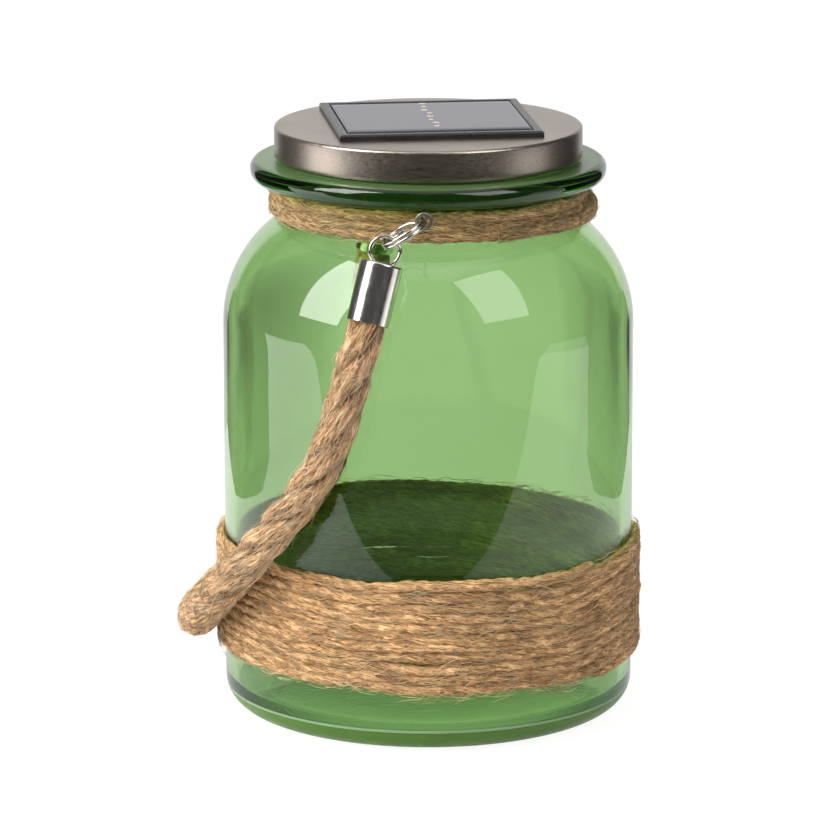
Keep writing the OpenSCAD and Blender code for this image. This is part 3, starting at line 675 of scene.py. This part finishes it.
# %% Foot winding
FOOT_TURNS, FOOT_LOW, FOOT_PITCH = 11, 16.3, 3.0
FOOT_START, FOOT_R, GLASS_R, FOOT_CLEAR_R = math.radians(-38), 55.65, 55.06, 56.2
sweep = np.linspace(0, FOOT_TURNS * 2 * np.pi, 9000)
row = sweep / (2 * np.pi)
angle = FOOT_START + sweep
around = (angle % (2 * np.pi)) * 12 / (2 * np.pi)
height = FOOT_LOW + FOOT_PITCH / 2 + FOOT_PITCH * (row * (FOOT_TURNS - 1) / FOOT_TURNS)
height = (height + 0.55 * soft_noise(around, row * 0.45, 21, 12)
          + 0.24 * soft_noise(around * 3, row * 1.1, 22, 36))
height = height + settled(angle, row / FOOT_TURNS)
radius = FOOT_R + 0.35 * soft_noise(around * 2, row * 0.9, 23, 24)
radius = radius - 0.5 * np.exp(-(np.minimum(sweep, sweep[-1] - sweep) / 0.12) ** 2)
foot_line, foot_run = resample(round_jar(angle, radius, height), 1.0)
foot_points, foot_values = twine_tube(foot_line, foot_run, 31, GLASS_R)
add_piece("foot_twine_wound", "jar", foot_points, tube_faces(len(foot_line), TWINE_SIDES),
          twine_jute, ["foot_twine"], foot_values)
print("foot winding:", round(foot_run[-1] / 1000, 2), "m of twine")


# %% Fibres of a winding, kept off the glass and between the winding's edges
def twine_surface(s, a):
    return np.full(np.broadcast(s, a).shape, TWINE_R)


STRAYS = 0.04


def outward(limit, low, high, shift=None):
    """Keeps fibres outside a radius, and only a few of those that reach past the winding's edges."""
    def keep(start, points):
        r = np.hypot(points[..., 0], points[..., 1])
        at = np.arctan2(points[:, 0, 1], points[:, 0, 0])
        down, up = (shift(at, 0), shift(at, 1)) if shift else (0, 0)
        past = (points[..., 2].min(axis=1) < low + down) | (points[..., 2].max(axis=1) > high + up)
        return (r.min(axis=1) > limit) & ~(past & (RNG.uniform(0, 1, len(r)) > STRAYS))
    return keep


def fibres_round_jar(hull_r, low, high, count, spread, long, lift, thick, shift=None):
    """Fibres that lie round a whole winding of radius hull_r and bridge its rows."""
    length = long[0] + (long[1] - long[0]) * RNG.beta(1.2, 2.4, count)
    slant = RNG.normal(0, spread, count)
    sense = RNG.choice([-1, 1], count)
    t = np.linspace(0, 1, FIBRE_JOINTS)[None]
    bend = RNG.normal(0, 0.5, (count, 1)) * t**1.6
    a = RNG.uniform(0, 2 * np.pi, (count, 1)) + sense[:, None] * length[:, None] * t / hull_r
    rest = RNG.uniform(low, high, (count, 1))
    z = rest + (shift(a[:, :1], (rest - low) / (high - low)) if shift else 0)
    z = z + length[:, None] * (np.sin(slant)[:, None] + 0.5 * bend) * t
    rise = lift * RNG.beta(1.1, 3.2, (count, 1))
    r = hull_r + RNG.normal(0, 0.12, (count, 1)) - 0.35 * (1 - np.sin(np.pi * t)) + rise * t**2
    points = np.stack([r * np.cos(a), r * np.sin(a), z], -1)
    inside = outward(0, low - 0.9, high + 0.9, shift)(None, points)
    steps = np.diff(points, axis=1, prepend=points[:, :1])
    return points[inside, 0], steps[inside], RNG.uniform(*thick, count)[inside]


# %% Fibres of the foot winding
FOOT_HULL, FOOT_HIGH = 57.1, FOOT_LOW + FOOT_TURNS * FOOT_PITCH
for name, count, spread, long, lift, thick in (
        ("foot_fibres_lying", 7600, 0.28, (2, 8), 0.3, (0.05, 0.11)),
        ("foot_fibres_loose", 7600, 0.9, (2.5, 8), 0.9, (0.04, 0.085))):
    fibre_piece(name, "jar", "twine", twine_fibre,
                fibres_on(foot_line, foot_run, twine_surface, count, 0.1, spread, long, lift, thick,
                          outward(FOOT_CLEAR_R, FOOT_LOW - 0.3, FOOT_HIGH + 0.5, settled)))
fibre_piece("foot_fibres_bridging", "jar", "twine", twine_fibre, *(
    fibres_round_jar(FOOT_HULL, FOOT_LOW + 1.0, FOOT_HIGH - 1.0, count, spread, long, lift, thick, settled)
    for count, spread, long, lift, thick in ((6500, 0.22, (3, 11), 0.5, (0.045, 0.105)),
                                             (1000, 0.9, (3, 9), 1.4, (0.03, 0.06)))))

# %% [markdown]
# The neck winding is two runs of the same twine: three turns, one below the other, and a last half
# turn that crosses them on the right. The crossing run stands further out, so that it lies on the
# others as the real one does. Its finish is a darker jute than that of the foot: painted shade for
# the shadow under the flange.

# %% Neck winding
NECK_TURNS, NECK_START, NECK_OVER, NECK_TWINE_R, NECK_GLASS_R = 3, 100, 165, 40.85, 39.3
NECK_CLEAR_R, NECK_HULL = 41.4, 42.45
sweep = np.linspace(0, NECK_TURNS * 2 * np.pi, 2600)
angle = math.radians(NECK_START) + sweep
row = sweep / (2 * np.pi)
around = (angle % (2 * np.pi)) * 10 / (2 * np.pi)
height = np.interp(row, [0, NECK_TURNS], [141.8, 134.6]) + 0.25 * soft_noise(around, row, 41, 10)
radius = NECK_TWINE_R + 0.15 * soft_noise(around, row, 42, 10) + np.interp(row, [0, 2, 3], [0, 0, 0.35])
first_line, first_run = resample(round_jar(angle, radius, height), 0.8)
over = np.linspace(0, 1, 500)
angle = np.radians(NECK_START - NECK_OVER * over)
height = np.interp(over, [0, 0.3, 0.5, 0.64, 0.75, 0.9, 1],
                   [140.9, 140.0, 137.6, 136.1, 135.6, 136.0, 135.2])
radius = np.interp(over, [0, 0.15, 0.4, 0.6, 0.85, 1], [41.2, 43.0, 43.8, 43.6, 43.0, 41.6])
second_line, second_run = resample(round_jar(angle, radius, height), 0.8)
parts, values, faces = [], [], []
for line, run, seed in ((first_line, first_run, 51), (second_line, second_run, 57)):
    part, of_part = twine_tube(line, run, seed, NECK_GLASS_R)
    faces += tube_faces(len(line), TWINE_SIDES, sum(len(q) for q in parts))
    parts.append(part)
    values.append(of_part)
add_piece("neck_twine_wound", "jar", np.vstack(parts), faces, neck_jute_painted_shade, ["neck_twine"],
          {key: np.concatenate([v[key] for v in values]) for key in values[0]})
for name, share, spread, lift, thick in (("neck_fibres_lying", 0.7, 0.3, 0.35, (0.05, 0.11)),
                                        ("neck_fibres_loose", 0.7, 0.7, 1.3, (0.03, 0.065))):
    fibre_piece(name, "jar", "twine", neck_fibre_painted_shade, *(
        fibres_on(line, run, twine_surface, int(share * count), 0.1, spread, (2, 8), lift, thick,
                  outward(NECK_CLEAR_R, 133.0, 143.0))
        for line, run, count in ((first_line, first_run, 6200), (second_line, second_run, 1600))))
fibre_piece("neck_fibres_bridging", "jar", "twine", neck_fibre_painted_shade,
            fibres_round_jar(NECK_HULL, 134.2, 142.6, 1500, 0.22, (3, 9), 0.5, (0.045, 0.10)))

# %% [markdown]
# ## The jar
# The jar is pressed and blown green glass, 3 mm thick, with a heavy flange under the mouth. Its
# colour is in the glass and not on it, so the walls look pale and the thick edges deep green.
# That comes from a Volume Absorption inside a closed mesh, whose two faces bend the light. The
# glass lets lamps through to the twine behind it, which plain refraction would leave black.

# %% Outline of the jar, turned
BODY_R, WALL, RIM_H, LIP_R = 55.0, 3.0, 154.4, 0.8
HEEL_R, INNER_HEEL_R, INNER_HEEL_Z = 8, 4, 9.5
SHOULDER_R, SHOULDER_X = 34.2, 20.8
NECK_R, MOUTH_R, COLLAR_R, FLANGE_R = 39.2, 36.5, 40.1, 47.5
FLANGE_Z, FLANGE_TOP, FLANGE_UNDER_R, FLANGE_OVER_R = 143.6, 149.3, 3, 2.2
shoulder_end = math.degrees(math.acos((NECK_R - SHOULDER_X) / SHOULDER_R))
shoulder_z = FLANGE_Z - 9.5 - SHOULDER_R * math.sin(math.radians(shoulder_end))
inner_end = math.degrees(math.acos((MOUTH_R - SHOULDER_X) / (SHOULDER_R - WALL)))
bore_low = shoulder_z + (SHOULDER_R - WALL) * math.sin(math.radians(inner_end))


def straight(a, b, n):
    """The points between a and b, without them, that cut the line into n steps."""
    t = np.linspace(0, 1, n + 1)[1:-1]
    return [(a[0] + (b[0] - a[0]) * k, a[1] + (b[1] - a[1]) * k) for k in t]


outside = [(0, 2.5), (14, 2.4), (28, 2.1), (38, 1.7), (41.5, 0.9), (43.2, 0.12), (44.2, 0)]
outside += arc(BODY_R - HEEL_R, HEEL_R, HEEL_R, -90, 0, 16)
outside += straight((BODY_R, HEEL_R), (BODY_R, shoulder_z), 24)
outside += arc(SHOULDER_X, shoulder_z, SHOULDER_R, 0, shoulder_end, 30)
outside += [(NECK_R, 134.8), (NECK_R, 138), (NECK_R, 142.9), (39.35, 143.4), (39.8, FLANGE_Z)]
outside += arc(FLANGE_R - FLANGE_UNDER_R, FLANGE_Z + FLANGE_UNDER_R, FLANGE_UNDER_R, -90, 0, 12)
outside += arc(FLANGE_R - FLANGE_OVER_R, FLANGE_TOP - FLANGE_OVER_R, FLANGE_OVER_R, 0, 90, 10)
outside += [(43, FLANGE_TOP), (41, FLANGE_TOP), (40.5, 149.42), (40.2, 149.75)]
outside += [(COLLAR_R, 150.3), (COLLAR_R, 152)]
outside += arc(COLLAR_R - LIP_R, RIM_H - LIP_R, LIP_R, 0, 90, 8)
inside = arc(MOUTH_R + LIP_R, RIM_H - LIP_R, LIP_R, 90, 180, 8)
inside += [(MOUTH_R, 150), (MOUTH_R, 143), (MOUTH_R, 137), (MOUTH_R, bore_low + 1)]
inside += arc(SHOULDER_X, shoulder_z, SHOULDER_R - WALL, inner_end, 0, 30)
inside += straight((BODY_R - WALL, shoulder_z), (BODY_R - WALL, INNER_HEEL_Z), 24)
inside += arc(BODY_R - WALL - INNER_HEEL_R, INNER_HEEL_Z, INNER_HEEL_R, 0, -90, 12)
inside += [(40, 5.42), (28, 5.2), (14, 5.0), (0, 4.9)]
jar_points, jar_faces = lathe(outside + inside)
print("jar: shoulder from", round(shoulder_z, 1), "mm, outline of", len(outside + inside), "points")

# %% Wavy inner wall, as blown glass has
angle = np.arctan2(jar_points[:, 1], jar_points[:, 0])
r = np.hypot(jar_points[:, 0], jar_points[:, 1])
is_inner = np.zeros(len(jar_points), bool)
is_inner[(len(outside) - 1) * LATHE_SIDES + 1:] = True
in_body = np.interp(jar_points[:, 2], [8, 20, 100, 130], [0, 1, 1, 0]) * is_inner
ripple = 0.16 * soft_noise(angle * 9 / (2 * np.pi), jar_points[:, 2] / 26, 61, 9)
ripple += 0.06 * soft_noise(angle * 22 / (2 * np.pi), jar_points[:, 2] / 11, 62, 22)
jar_points[:, :2] *= (1 + in_body * ripple / np.maximum(r, 1))[:, None]
print("inner wall waves within", round(float(np.abs(ripple).max()), 2), "mm")

# %% Green glass
glass, tree = new_finish("green_glass")
tree.put(tree.shader, {"Base Color": (0.813, 0.903, 0.744), "Transmission Weight": 1, "Roughness": 0,
                       "IOR": 1.5})
is_shadow = tree.add("LightPath", output="Is Shadow Ray")
lamp_light = tree.add("BsdfTransparent", {"Color": (0.84, 0.87, 0.42)})
deep_green = tree.add("VolumeAbsorption", {"Color": (0.308, 0.659, 0.02), "Density": 150})
tree.put(tree.end, {"Surface": tree.mix(is_shadow, tree.shader.outputs[0], lamp_light), "Volume": deep_green})
jar = add_piece("jar", "jar", jar_points, jar_faces, glass, ["glass_jar"])


# %% [markdown]
# Four parts of the jar's skin are rough: the stippled underside, the land that the lid sits on, the
# heel and the mould's seam above it. They are faces of the same mesh with a finish of their own,
# because a separate piece would lay one sheet of glass on another.

# %% Rough glass
def rough_glass(name, rough, milky, milk, scale, depth):
    """The same green glass with a rough skin; milky is the share of it that scatters light back."""
    material = glass.copy()
    material.name = name
    tree = Tree(material)
    pick = next(node for node in tree.nodes if node.type == "MIX_SHADER")
    dots = tree.add("TexVoronoi", {"Vector": tree.add("TexCoord", output="Object"), "Scale": scale})
    tree.put(tree.shader, {"Roughness": rough})
    tree.bump(dots, depth, 0.8)
    tree.put(pick, {1: tree.mix(milky, tree.shader.outputs[0], tree.add("BsdfDiffuse", {"Color": milk}))})
    return material


STIPPLED, LAND, HEEL, SEAM = 1, 2, 3, 4
STIPPLED_Z, STANDING_R, LAND_R, SEAM_Z, HEEL_Z, HEEL_INNER_R = 2.7, 44, 46.4, 5.5, 6.2, 51.5
for name, rough, milky, milk, scale, depth in (
        ("stippled", 0.25, 0.05, (0.6, 0.9, 0.4), 900, 0.0001),
        ("land", 0.25, 0.14, (0.45, 0.80, 0.28), 700, 0.0001),
        ("heel", 0.22, 0.34, (0.27, 0.62, 0.08), 650, 0.0002),
        ("seam", 0.20, 0.45, (0.60, 0.85, 0.52), 650, 0.0001)):
    jar.data.materials.append(rough_glass("green_glass_" + name, rough, milky, milk, scale, depth))
for face in jar.data.polygons:
    r, z = math.hypot(face.center.x, face.center.y) / MM, face.center.z / MM
    if z < STIPPLED_Z and r < STANDING_R:
        face.material_index = STIPPLED
    elif FLANGE_TOP - 0.3 < z < FLANGE_TOP + 0.3 and r < LAND_R:
        face.material_index = LAND
    elif z < HEEL_Z and r > HEEL_INNER_R or z < HEEL_Z - 1.5 and r > STANDING_R:
        face.material_index = SEAM if z > SEAM_Z else HEEL
rough_faces = sum(face.material_index > 0 for face in jar.data.polygons)
print("rough faces:", rough_faces, "of", len(jar.data.polygons))

# %% [markdown]
# ## The steel lid
# The lid is drawn from half a millimetre of steel, brushed, with a rolled top edge. It is turned
# from an outline with that edge and a small hem. Brushed steel is a metal with a fine, long grain
# in its roughness and bump.

# %% Lid
LID_R, LID_TOP, SKIRT_H, SHEET, ROLL_R = 41.05, 158.3, 8.3, 0.5, 0.8
low = LID_TOP - SKIRT_H
lid_outline = [(0, LID_TOP), (20, LID_TOP), (36, LID_TOP)]
lid_outline += arc(LID_R - ROLL_R, LID_TOP - ROLL_R, ROLL_R, 90, 0, 10)
lid_outline += [(LID_R, LID_TOP - 3), (LID_R, low + 1.2), (LID_R, low + 0.3), (LID_R - 0.1, low + 0.06)]
lid_outline += [(LID_R - 0.25, low), (LID_R - 0.4, low + 0.06), (LID_R - SHEET, low + 0.3)]
lid_outline += [(LID_R - SHEET, low + 2), (LID_R - SHEET, LID_TOP - 1.3)]
lid_outline += arc(LID_R - SHEET - 0.4, LID_TOP - SHEET - 0.4, 0.4, 0, 90, 6)
lid_outline += [(30, LID_TOP - SHEET), (0, LID_TOP - SHEET)]
lid_points, lid_faces = lathe(lid_outline[::-1])


def brushed(name, colour, rough, grain, tilt):
    material, tree = new_finish(name)
    here = tree.add("TexCoord", output="Object")
    lines = tree.noise(here, 4, 0.65, stretch=grain)
    soft = tree.noise(here, 2, stretch=(45, 45, 60))
    dark, pale = (tuple(c * share for c in colour) for share in (0.74, 1.05))
    shades = tree.ramp(lines, (0.35, dark), (0.65, pale))
    clouds = tree.ramp(soft, (0.35, (0.85, 0.83, 0.81)), (0.65, 1))
    tree.put(tree.shader, {"Base Color": tree.blend(shades, clouds), "Metallic": 1,
                           "Roughness": tree.ramp(lines, (0.3, rough - 0.06), (0.7, rough + 0.08))})
    tree.bump(lines, 0.00001, tilt)
    return material


lid_steel = brushed("lid_steel", (0.46, 0.395, 0.34), rough=0.33, grain=(160, 2600, 2600), tilt=0.18)
add_piece("lid", "lid", lid_points, lid_faces, lid_steel, ["lid_cap"])

# %% [markdown]
# ## Solar panel
# The panel is a moulded tray with narrow rails round a glazed cell. The glaze could be a flat
# plate, but resin is poured on such cells and its front and back edges fall away in a soft curve,
# which is what catches the light, so it is a grid of heights closed below.

# %% A closed block under a grid of heights
def grid_faces(n, m):
    """Faces between n rows of m points."""
    i, k = np.meshgrid(np.arange(n - 1), np.arange(m - 1), indexing="ij")
    a = (i * m + k).ravel()
    return np.stack([a, a + m, a + m + 1, a + 1], -1)


PANEL_X, PANEL_Y, PANEL_TURN = 0.5, 3.0, math.radians(7.2)
PANEL_W, PANEL_D, PANEL_H, RAIL, SLOT = 54.0, 51.0, 1.5, 2.4, 0.3
GLAZE_W, GLAZE_D = PANEL_W - 2 * RAIL - 2 * SLOT, PANEL_D - 2 * RAIL - 2 * SLOT


def block(name, xs, ys, top, bottom, material, stands_for=()):
    """Closed block; top gives a height at every (x, y) on the panel, all in mm above the lid."""
    gx, gy = np.meshgrid(xs, ys, indexing="ij")
    grid = np.stack([gx, gy, top(gx, gy)], -1).reshape(-1, 3)
    under = np.stack([gx, gy, np.full_like(gx, bottom)], -1).reshape(-1, 3)
    n, m = len(xs), len(ys)
    faces = grid_faces(n, m).tolist() + (grid_faces(n, m)[:, ::-1] + n * m).tolist()
    rim = [k * m for k in range(n)] + [(n - 1) * m + k for k in range(1, m)]
    rim += [k * m + m - 1 for k in range(n - 2, -1, -1)] + [k for k in range(m - 2, 0, -1)]
    faces += [[b, a, a + n * m, b + n * m] for a, b in zip(rim, rim[1:] + rim[:1])]
    points = np.vstack([grid, under])
    c, s = math.cos(PANEL_TURN), math.sin(PANEL_TURN)
    x, y = points[:, 0].copy(), points[:, 1].copy()
    points[:, 0], points[:, 1] = PANEL_X + c * x - s * y, PANEL_Y + s * x + c * y
    points[:, 2] += LID_TOP
    return add_piece(name, "lid", points, faces, material, stands_for)


def eased(half, steps=(0, 0.12, 0.3, 0.6, 1.0, 1.6, 2.2, 3.0, 4.0, 5.2, 7)):
    """Places from -half to half: close together at the ends, by the given steps, and even between."""
    near = [-half + k for k in steps]
    return np.array(near + list(np.linspace(-half + 9, half - 9, 24)) + [-v for v in near[::-1]])


# %% Tray with its rails, glazed cell, and a row of small contacts
def tray_top(x, y):
    inward = np.minimum(PANEL_W / 2 - np.abs(x), PANEL_D / 2 - np.abs(y))
    edge = 0.45 * np.clip(1 - inward / 0.6, 0, 1) ** 2
    edge = edge + 0.25 * np.clip((inward - RAIL + 0.35) / 0.35, 0, 1) ** 2
    return np.where(inward > RAIL + 1e-6, PANEL_H - 1.1, PANEL_H - edge)


def glaze_top(x, y):
    off = np.minimum(GLAZE_W / 2 - np.abs(x), GLAZE_D / 2 - np.abs(y))
    fall = np.clip(1 - (GLAZE_D / 2 - np.abs(y)) / 4.0, 0, 1) ** 2.4
    return PANEL_H + 0.18 - 0.75 * fall - 0.3 * np.clip(1 - off / 0.5, 0, 1) ** 2


def dome_top(x0, y0, half_x, half_y):
    """The top of one contact: a low dome over a small rectangle."""
    def top(x, y):
        across, along = (x - x0) / half_x / 1.3, (y - y0) / half_y / 1.3
        return PANEL_H + 0.12 + 0.10 * np.sqrt(np.clip(1 - across**2 - along**2, 0, 1))
    return top


def solar_glass():
    material, tree = new_finish("solar_cell_glaze")
    bands = tree.noise(tree.add("TexCoord", output="Object"), 2, stretch=(6, 500, 6))
    shades = tree.ramp(bands, (0.3, (0.030, 0.024, 0.038)), (0.7, (0.046, 0.037, 0.054)))
    tree.put(tree.shader, {"Base Color": shades, "Roughness": 0.16, "IOR": 1.38})
    return material


def moulded(name, colour, rough, grain=700):
    material, tree = new_finish(name)
    speck = tree.noise(tree.add("TexCoord", output="Object"), 3, scale=grain)
    shades = tree.ramp(speck, (0.3, tuple(c * 0.8 for c in colour)), (0.7, tuple(c * 1.15 for c in colour)))
    tree.put(tree.shader, {"Base Color": shades,
                           "Roughness": tree.ramp(speck, (0.3, rough - 0.05), (0.7, rough + 0.08))})
    tree.bump(speck, 0.00003, 0.4)
    return material


frame_plastic = moulded("frame_plastic", (0.020, 0.020, 0.022), 0.30)
rail_steps = (0, 0.1, 0.25, 0.45, 0.6, 1.2, 1.8, 2.05, 2.2, 2.3, 2.4, 2.402)
block("solar_tray_rails", eased(PANEL_W / 2, rail_steps), eased(PANEL_D / 2, rail_steps), tray_top, -0.02,
      frame_plastic, ["solar_tray"])
block("solar_cell_glazed", eased(GLAZE_W / 2), eased(GLAZE_D / 2), glaze_top, PANEL_H - 1.2,
      solar_glass(), ["solar_cell"])
contact_cream = moulded("contact_cream", (0.62, 0.57, 0.44), 0.35)
CONTACTS, FIRST_Y, LAST_Y = 8, -15, 19
for number, y in enumerate(np.linspace(FIRST_Y, LAST_Y, CONTACTS)):
    x, half_x, half_y = 0.45 * math.sin(number * 2.1), 0.7 + 0.3 * (number % 2), 1.0
    block("cell_contact_%d" % (number + 1), np.linspace(x - half_x, x + half_x, 7),
          np.linspace(y - half_y, y + half_y, 7), dome_top(x, y, half_x, half_y), PANEL_H - 0.2,
          contact_cream)

# %% [markdown]
# ## Housing and the works inside
# Below the lid hang the plastic housing, the battery and the board. These CAD nodes have the
# right shapes and are only given their finishes.

# %% Finishes for the CAD nodes
housing_plastic = moulded("housing_plastic", (0.22, 0.22, 0.215), 0.45)
silicone = moulded("seal_silicone", (0.60, 0.60, 0.56), 0.55, 300)
board_green = moulded("board_green", (0.02, 0.13, 0.05), 0.35, 400)
chip_black = moulded("chip_black", (0.015, 0.015, 0.016), 0.4)
sleeve = moulded("battery_sleeve", (0.04, 0.16, 0.07), 0.3, 200)
contact = plated("contact_plate", (0.70, 0.66, 0.55), rough=0.22, scratch=0.15)
leads = moulded("lead_cover", (0.25, 0.02, 0.02), 0.5, 300)
lens, tree = new_finish("diode_lens")
tree.put(tree.shader, {"Base Color": (0.95, 0.93, 0.85), "Transmission Weight": 0.8, "Roughness": 0.12})
finishes = {
    "neck_wire": wire_steel, "lid_housing": housing_plastic, "seal_ring": silicone,
    "housing_floor": housing_plastic, "floor_screws": wire_steel, "battery_cover": housing_plastic,
    "cover_screw": wire_steel, "battery": sleeve, "battery_spring": contact, "battery_plate": contact,
    "solar_leads": leads, "battery_leads": leads,
    "circuit_board": board_green, "board_parts": chip_black, "board_screws": wire_steel,
    "light_diode": lens, "switch_body": chip_black, "switch_slider": chip_black,
}
for node, finish in finishes.items():
    give_finish(node, finish)
print("finishes for", len(finishes), "CAD nodes")

# %% [markdown]
# ## Floor, backdrop and light
# The setting is a white sweep with a large soft box to the left, a smaller one to the right and
# a weak one above. They light the lantern and show in the shoulder of the glass and in the caps.
# Glass shows what lies round it more than its own colour, so white sheets lie on the floor for it
# to mirror, and dark patches lie behind it to give its walls depth. The camera sees neither.

# %% Helpers for the stage, in metres
def matt_and_glow(tree, albedo, strength):
    matt = tree.add("BsdfDiffuse", {"Color": (albedo, albedo, albedo)})
    return tree.add("AddShader", {0: matt, 1: tree.add("Emission", {"Strength": strength})})


def by_ray(tree, lit, mirrored, seen_through, direct):
    """One shader each for the light, for what mirrors see, for what glass sees and for the camera."""
    rays = tree.add("LightPath").node.outputs
    for ray, other in (("Glossy", mirrored), ("Transmission", seen_through), ("Camera", direct)):
        lit = tree.mix(rays["Is %s Ray" % ray], lit, other)
    tree.put(tree.end, {"Surface": lit})


def level_along(tree, place, axis, start, end, low, high, way="LINEAR"):
    """A strength that goes from low to high while one coordinate of a place goes from start to end."""
    return tree.add("MapRange", {"Value": place[axis], "From Min": start, "From Max": end, "To Min": low,
                                 "To Max": high}, interpolation_type=way)


def stage_piece(name, points, faces, material, *unseen_by):
    obj, mesh = new_object(name, points, faces, material)
    for ray in unseen_by:
        setattr(obj, "visible_" + ray, False)
    return mesh


def flat_piece(name, outline, height, material, *unseen_by):
    points = [(x, y, height) for x, y in outline]
    stage_piece(name, points, [tuple(range(len(points)))], material, *unseen_by)


# %% Floor: white to look at, with the lantern's shadow, and dark in the reflections
FLOOR_HEIGHT, GREY_HEIGHT, CARD_HEIGHT, FLAG_HEIGHT = -0.0002, -0.00015, -0.0001, -0.00005
floor_paint, tree = new_finish("floor_paint", bare=True)
by_ray(tree, lit=matt_and_glow(tree, 0.8, 0), mirrored=matt_and_glow(tree, 0.03, 0.02),
       seen_through=matt_and_glow(tree, 0.10, 0.83), direct=matt_and_glow(tree, 0.22, 0.92))
flat_piece("floor", [(-3, -3), (3, -3), (3, 3), (-3, 3)], FLOOR_HEIGHT, floor_paint)


# %% [markdown]
# The cards are white sheets on the floor that show only as reflections in glass and metal. The flags
# are dark patches with faded edges, behind the jar, that show only through it. Each lies at a
# height of its own, a few hundredths of a millimetre apart, because sheets at one height flicker.

# %% Cards
def card(name, outline, strength, right_end=None):
    """strength is that of the whole card, or of its left end where its right end has its own."""
    material, tree = new_finish(name, bare=True)
    if right_end is not None:
        xs = [x for x, _ in outline]
        place = tree.add("SeparateXYZ", {0: tree.add("TexCoord", output="Object")}).node.outputs
        strength = level_along(tree, place, "X", min(xs), max(xs), strength, right_end)
    tree.put(tree.end, {"Surface": tree.add("Emission", {"Strength": strength})})
    flat_piece(name, outline, CARD_HEIGHT, material, "camera", "diffuse", "shadow", "transmission")


def strip_behind(x, low, high, near, far):
    """A floor strip that fans out behind the point (x, 0), between two angles from straight back."""
    t = [math.tan(math.radians(a)) for a in (low, high)]
    return [(x + near * t[0], near), (x + near * t[1], near), (x + far * t[1], far), (x + far * t[0], far)]


LEFT_EDGE = [(-0.57, 0.07), (-0.347, 0.022), (-0.297, 0.045), (-0.265, 0.10), (-0.21, 0.17), (-0.187, 0.30)]
card("table_left", [(-0.57, -0.25), (0, -0.218), (0, 0.30), *LEFT_EDGE[::-1]], 3.3, right_end=0.6)
card("table_right", [(0, 0.30), (0, -0.218), (0.57, -0.27), *((-x, y) for x, y in LEFT_EDGE)], 0.6,
     right_end=2.1)
card("board_left", [(-1.3, -0.45), (-0.57, -0.27), (-0.57, 0.07), (-1.3, 0.25)], 3.2)
card("board_right", [(0.57, -0.27), (1.3, -0.50), (1.3, 0.12), (0.57, 0.07)], 1.0)
card("backdrop_foot", strip_behind(0, -32, 32, 0.30, 2.9), 0.95)

# %% Soft flags
FLAG_STEPS = 28


def soft_flag(name, corners, height, strength):
    material, tree = new_finish(name, bare=True)
    glow = tree.add("Emission", {"Strength": strength})
    share = tree.add("Attribute", output="Fac", attribute_name="share")
    tree.put(tree.end, {"Surface": tree.mix(share, tree.add("BsdfTransparent"), glow)})
    even = np.linspace(0, 1, FLAG_STEPS)
    u, v = (grid.ravel()[:, None] for grid in np.meshgrid(even, even, indexing="ij"))
    a, b, c, d = (np.array(corner)[None] for corner in corners)
    points = (1 - v) * ((1 - u) * a + u * b) + v * ((1 - u) * d + u * c)
    mesh = stage_piece(name, np.hstack([points, np.full((len(points), 1), height)]).tolist(),
                       grid_faces(FLAG_STEPS, FLAG_STEPS).tolist(), material, "camera", "diffuse", "shadow",
                       "glossy")
    ease = np.sin(np.pi * u) ** 0.7 * np.clip(np.minimum(v / 0.45, (1 - v) / 0.45), 0, 1) ** 0.8
    mesh.attributes.new("share", "FLOAT", "POINT").data.foreach_set("value", ease.ravel().astype(np.float32))


soft_flag("flag_left", strip_behind(-0.050, -24, -10, 0.30, 0.56), FLAG_HEIGHT, 0.0)
soft_flag("flag_right", strip_behind(0.050, 12, 27, 0.27, 0.58), FLAG_HEIGHT, 0.0)
soft_flag("grey_left", strip_behind(-0.040, -17, 0, 0.16, 0.95), GREY_HEIGHT, 0.40)
soft_flag("grey_right", strip_behind(0.043, 3, 21, 0.20, 0.95), GREY_HEIGHT, 0.46)

# %% World: white to look at, a dark room with a white backdrop in the reflections
world = bpy.data.worlds.new("studio")
bpy.context.scene.world = world
tree = Tree(world, bare=True)
ways = tree.add("SeparateXYZ", {0: tree.add("TexCoord", output="Generated")}).node.outputs
backdrop = level_along(tree, ways, "Y", 0.80, 0.86, 0.07, 0.95, "SMOOTHSTEP")
ceiling = level_along(tree, ways, "Z", 0.84, 0.95, 0.0, 1.1, "SMOOTHSTEP")
ambient, white, room = (tree.add("Background", {"Color": (1, 1, 1), "Strength": strength})
                        for strength in (0.26, 1.0, tree.add("Math", {0: backdrop, 1: ceiling})))
by_ray(tree, lit=ambient, mirrored=room, seen_through=white, direct=white)


# %% Soft boxes
def towards(azimuth, elevation):
    """A direction from the lantern: azimuth 0 is towards the camera and grows to the right."""
    a, e = math.radians(azimuth), math.radians(elevation)
    return Vector((math.sin(a) * math.cos(e), -math.cos(a) * math.cos(e), math.sin(e)))


def soft_box(name, azimuth, elevation, distance, width, height, radiance):
    data = bpy.data.lights.new(name, "AREA")
    data.shape = "RECTANGLE"
    data.size, data.size_y = width, height
    data.energy = radiance * math.pi * width * height
    box = bpy.data.objects.new(name, data)
    middle = Vector((0, 0, 0.11))
    box.location = middle + distance * towards(azimuth, elevation)
    box.rotation_euler = (middle - box.location).to_track_quat("-Z", "Y").to_euler()
    box.visible_camera = box.visible_transmission = False
    bpy.context.scene.collection.objects.link(box)
    print(name, round(data.energy, 2), "W")
    return box


RIGHT = {"azimuth": 46, "elevation": 40, "width": 0.54, "height": 0.80}
soft_box("left_box", azimuth=-65, elevation=38, distance=1.1, width=0.54, height=0.98, radiance=9.6)
soft_box("right_box", distance=1.1, radiance=2.1, **RIGHT)
overhead = soft_box("top_box", azimuth=180, elevation=84, distance=1.2, width=0.60, height=0.50, radiance=1.2)
overhead.visible_glossy = False
shine = soft_box("right_box_shine", distance=1.09, radiance=1.9, **RIGHT)
shine.visible_diffuse = False
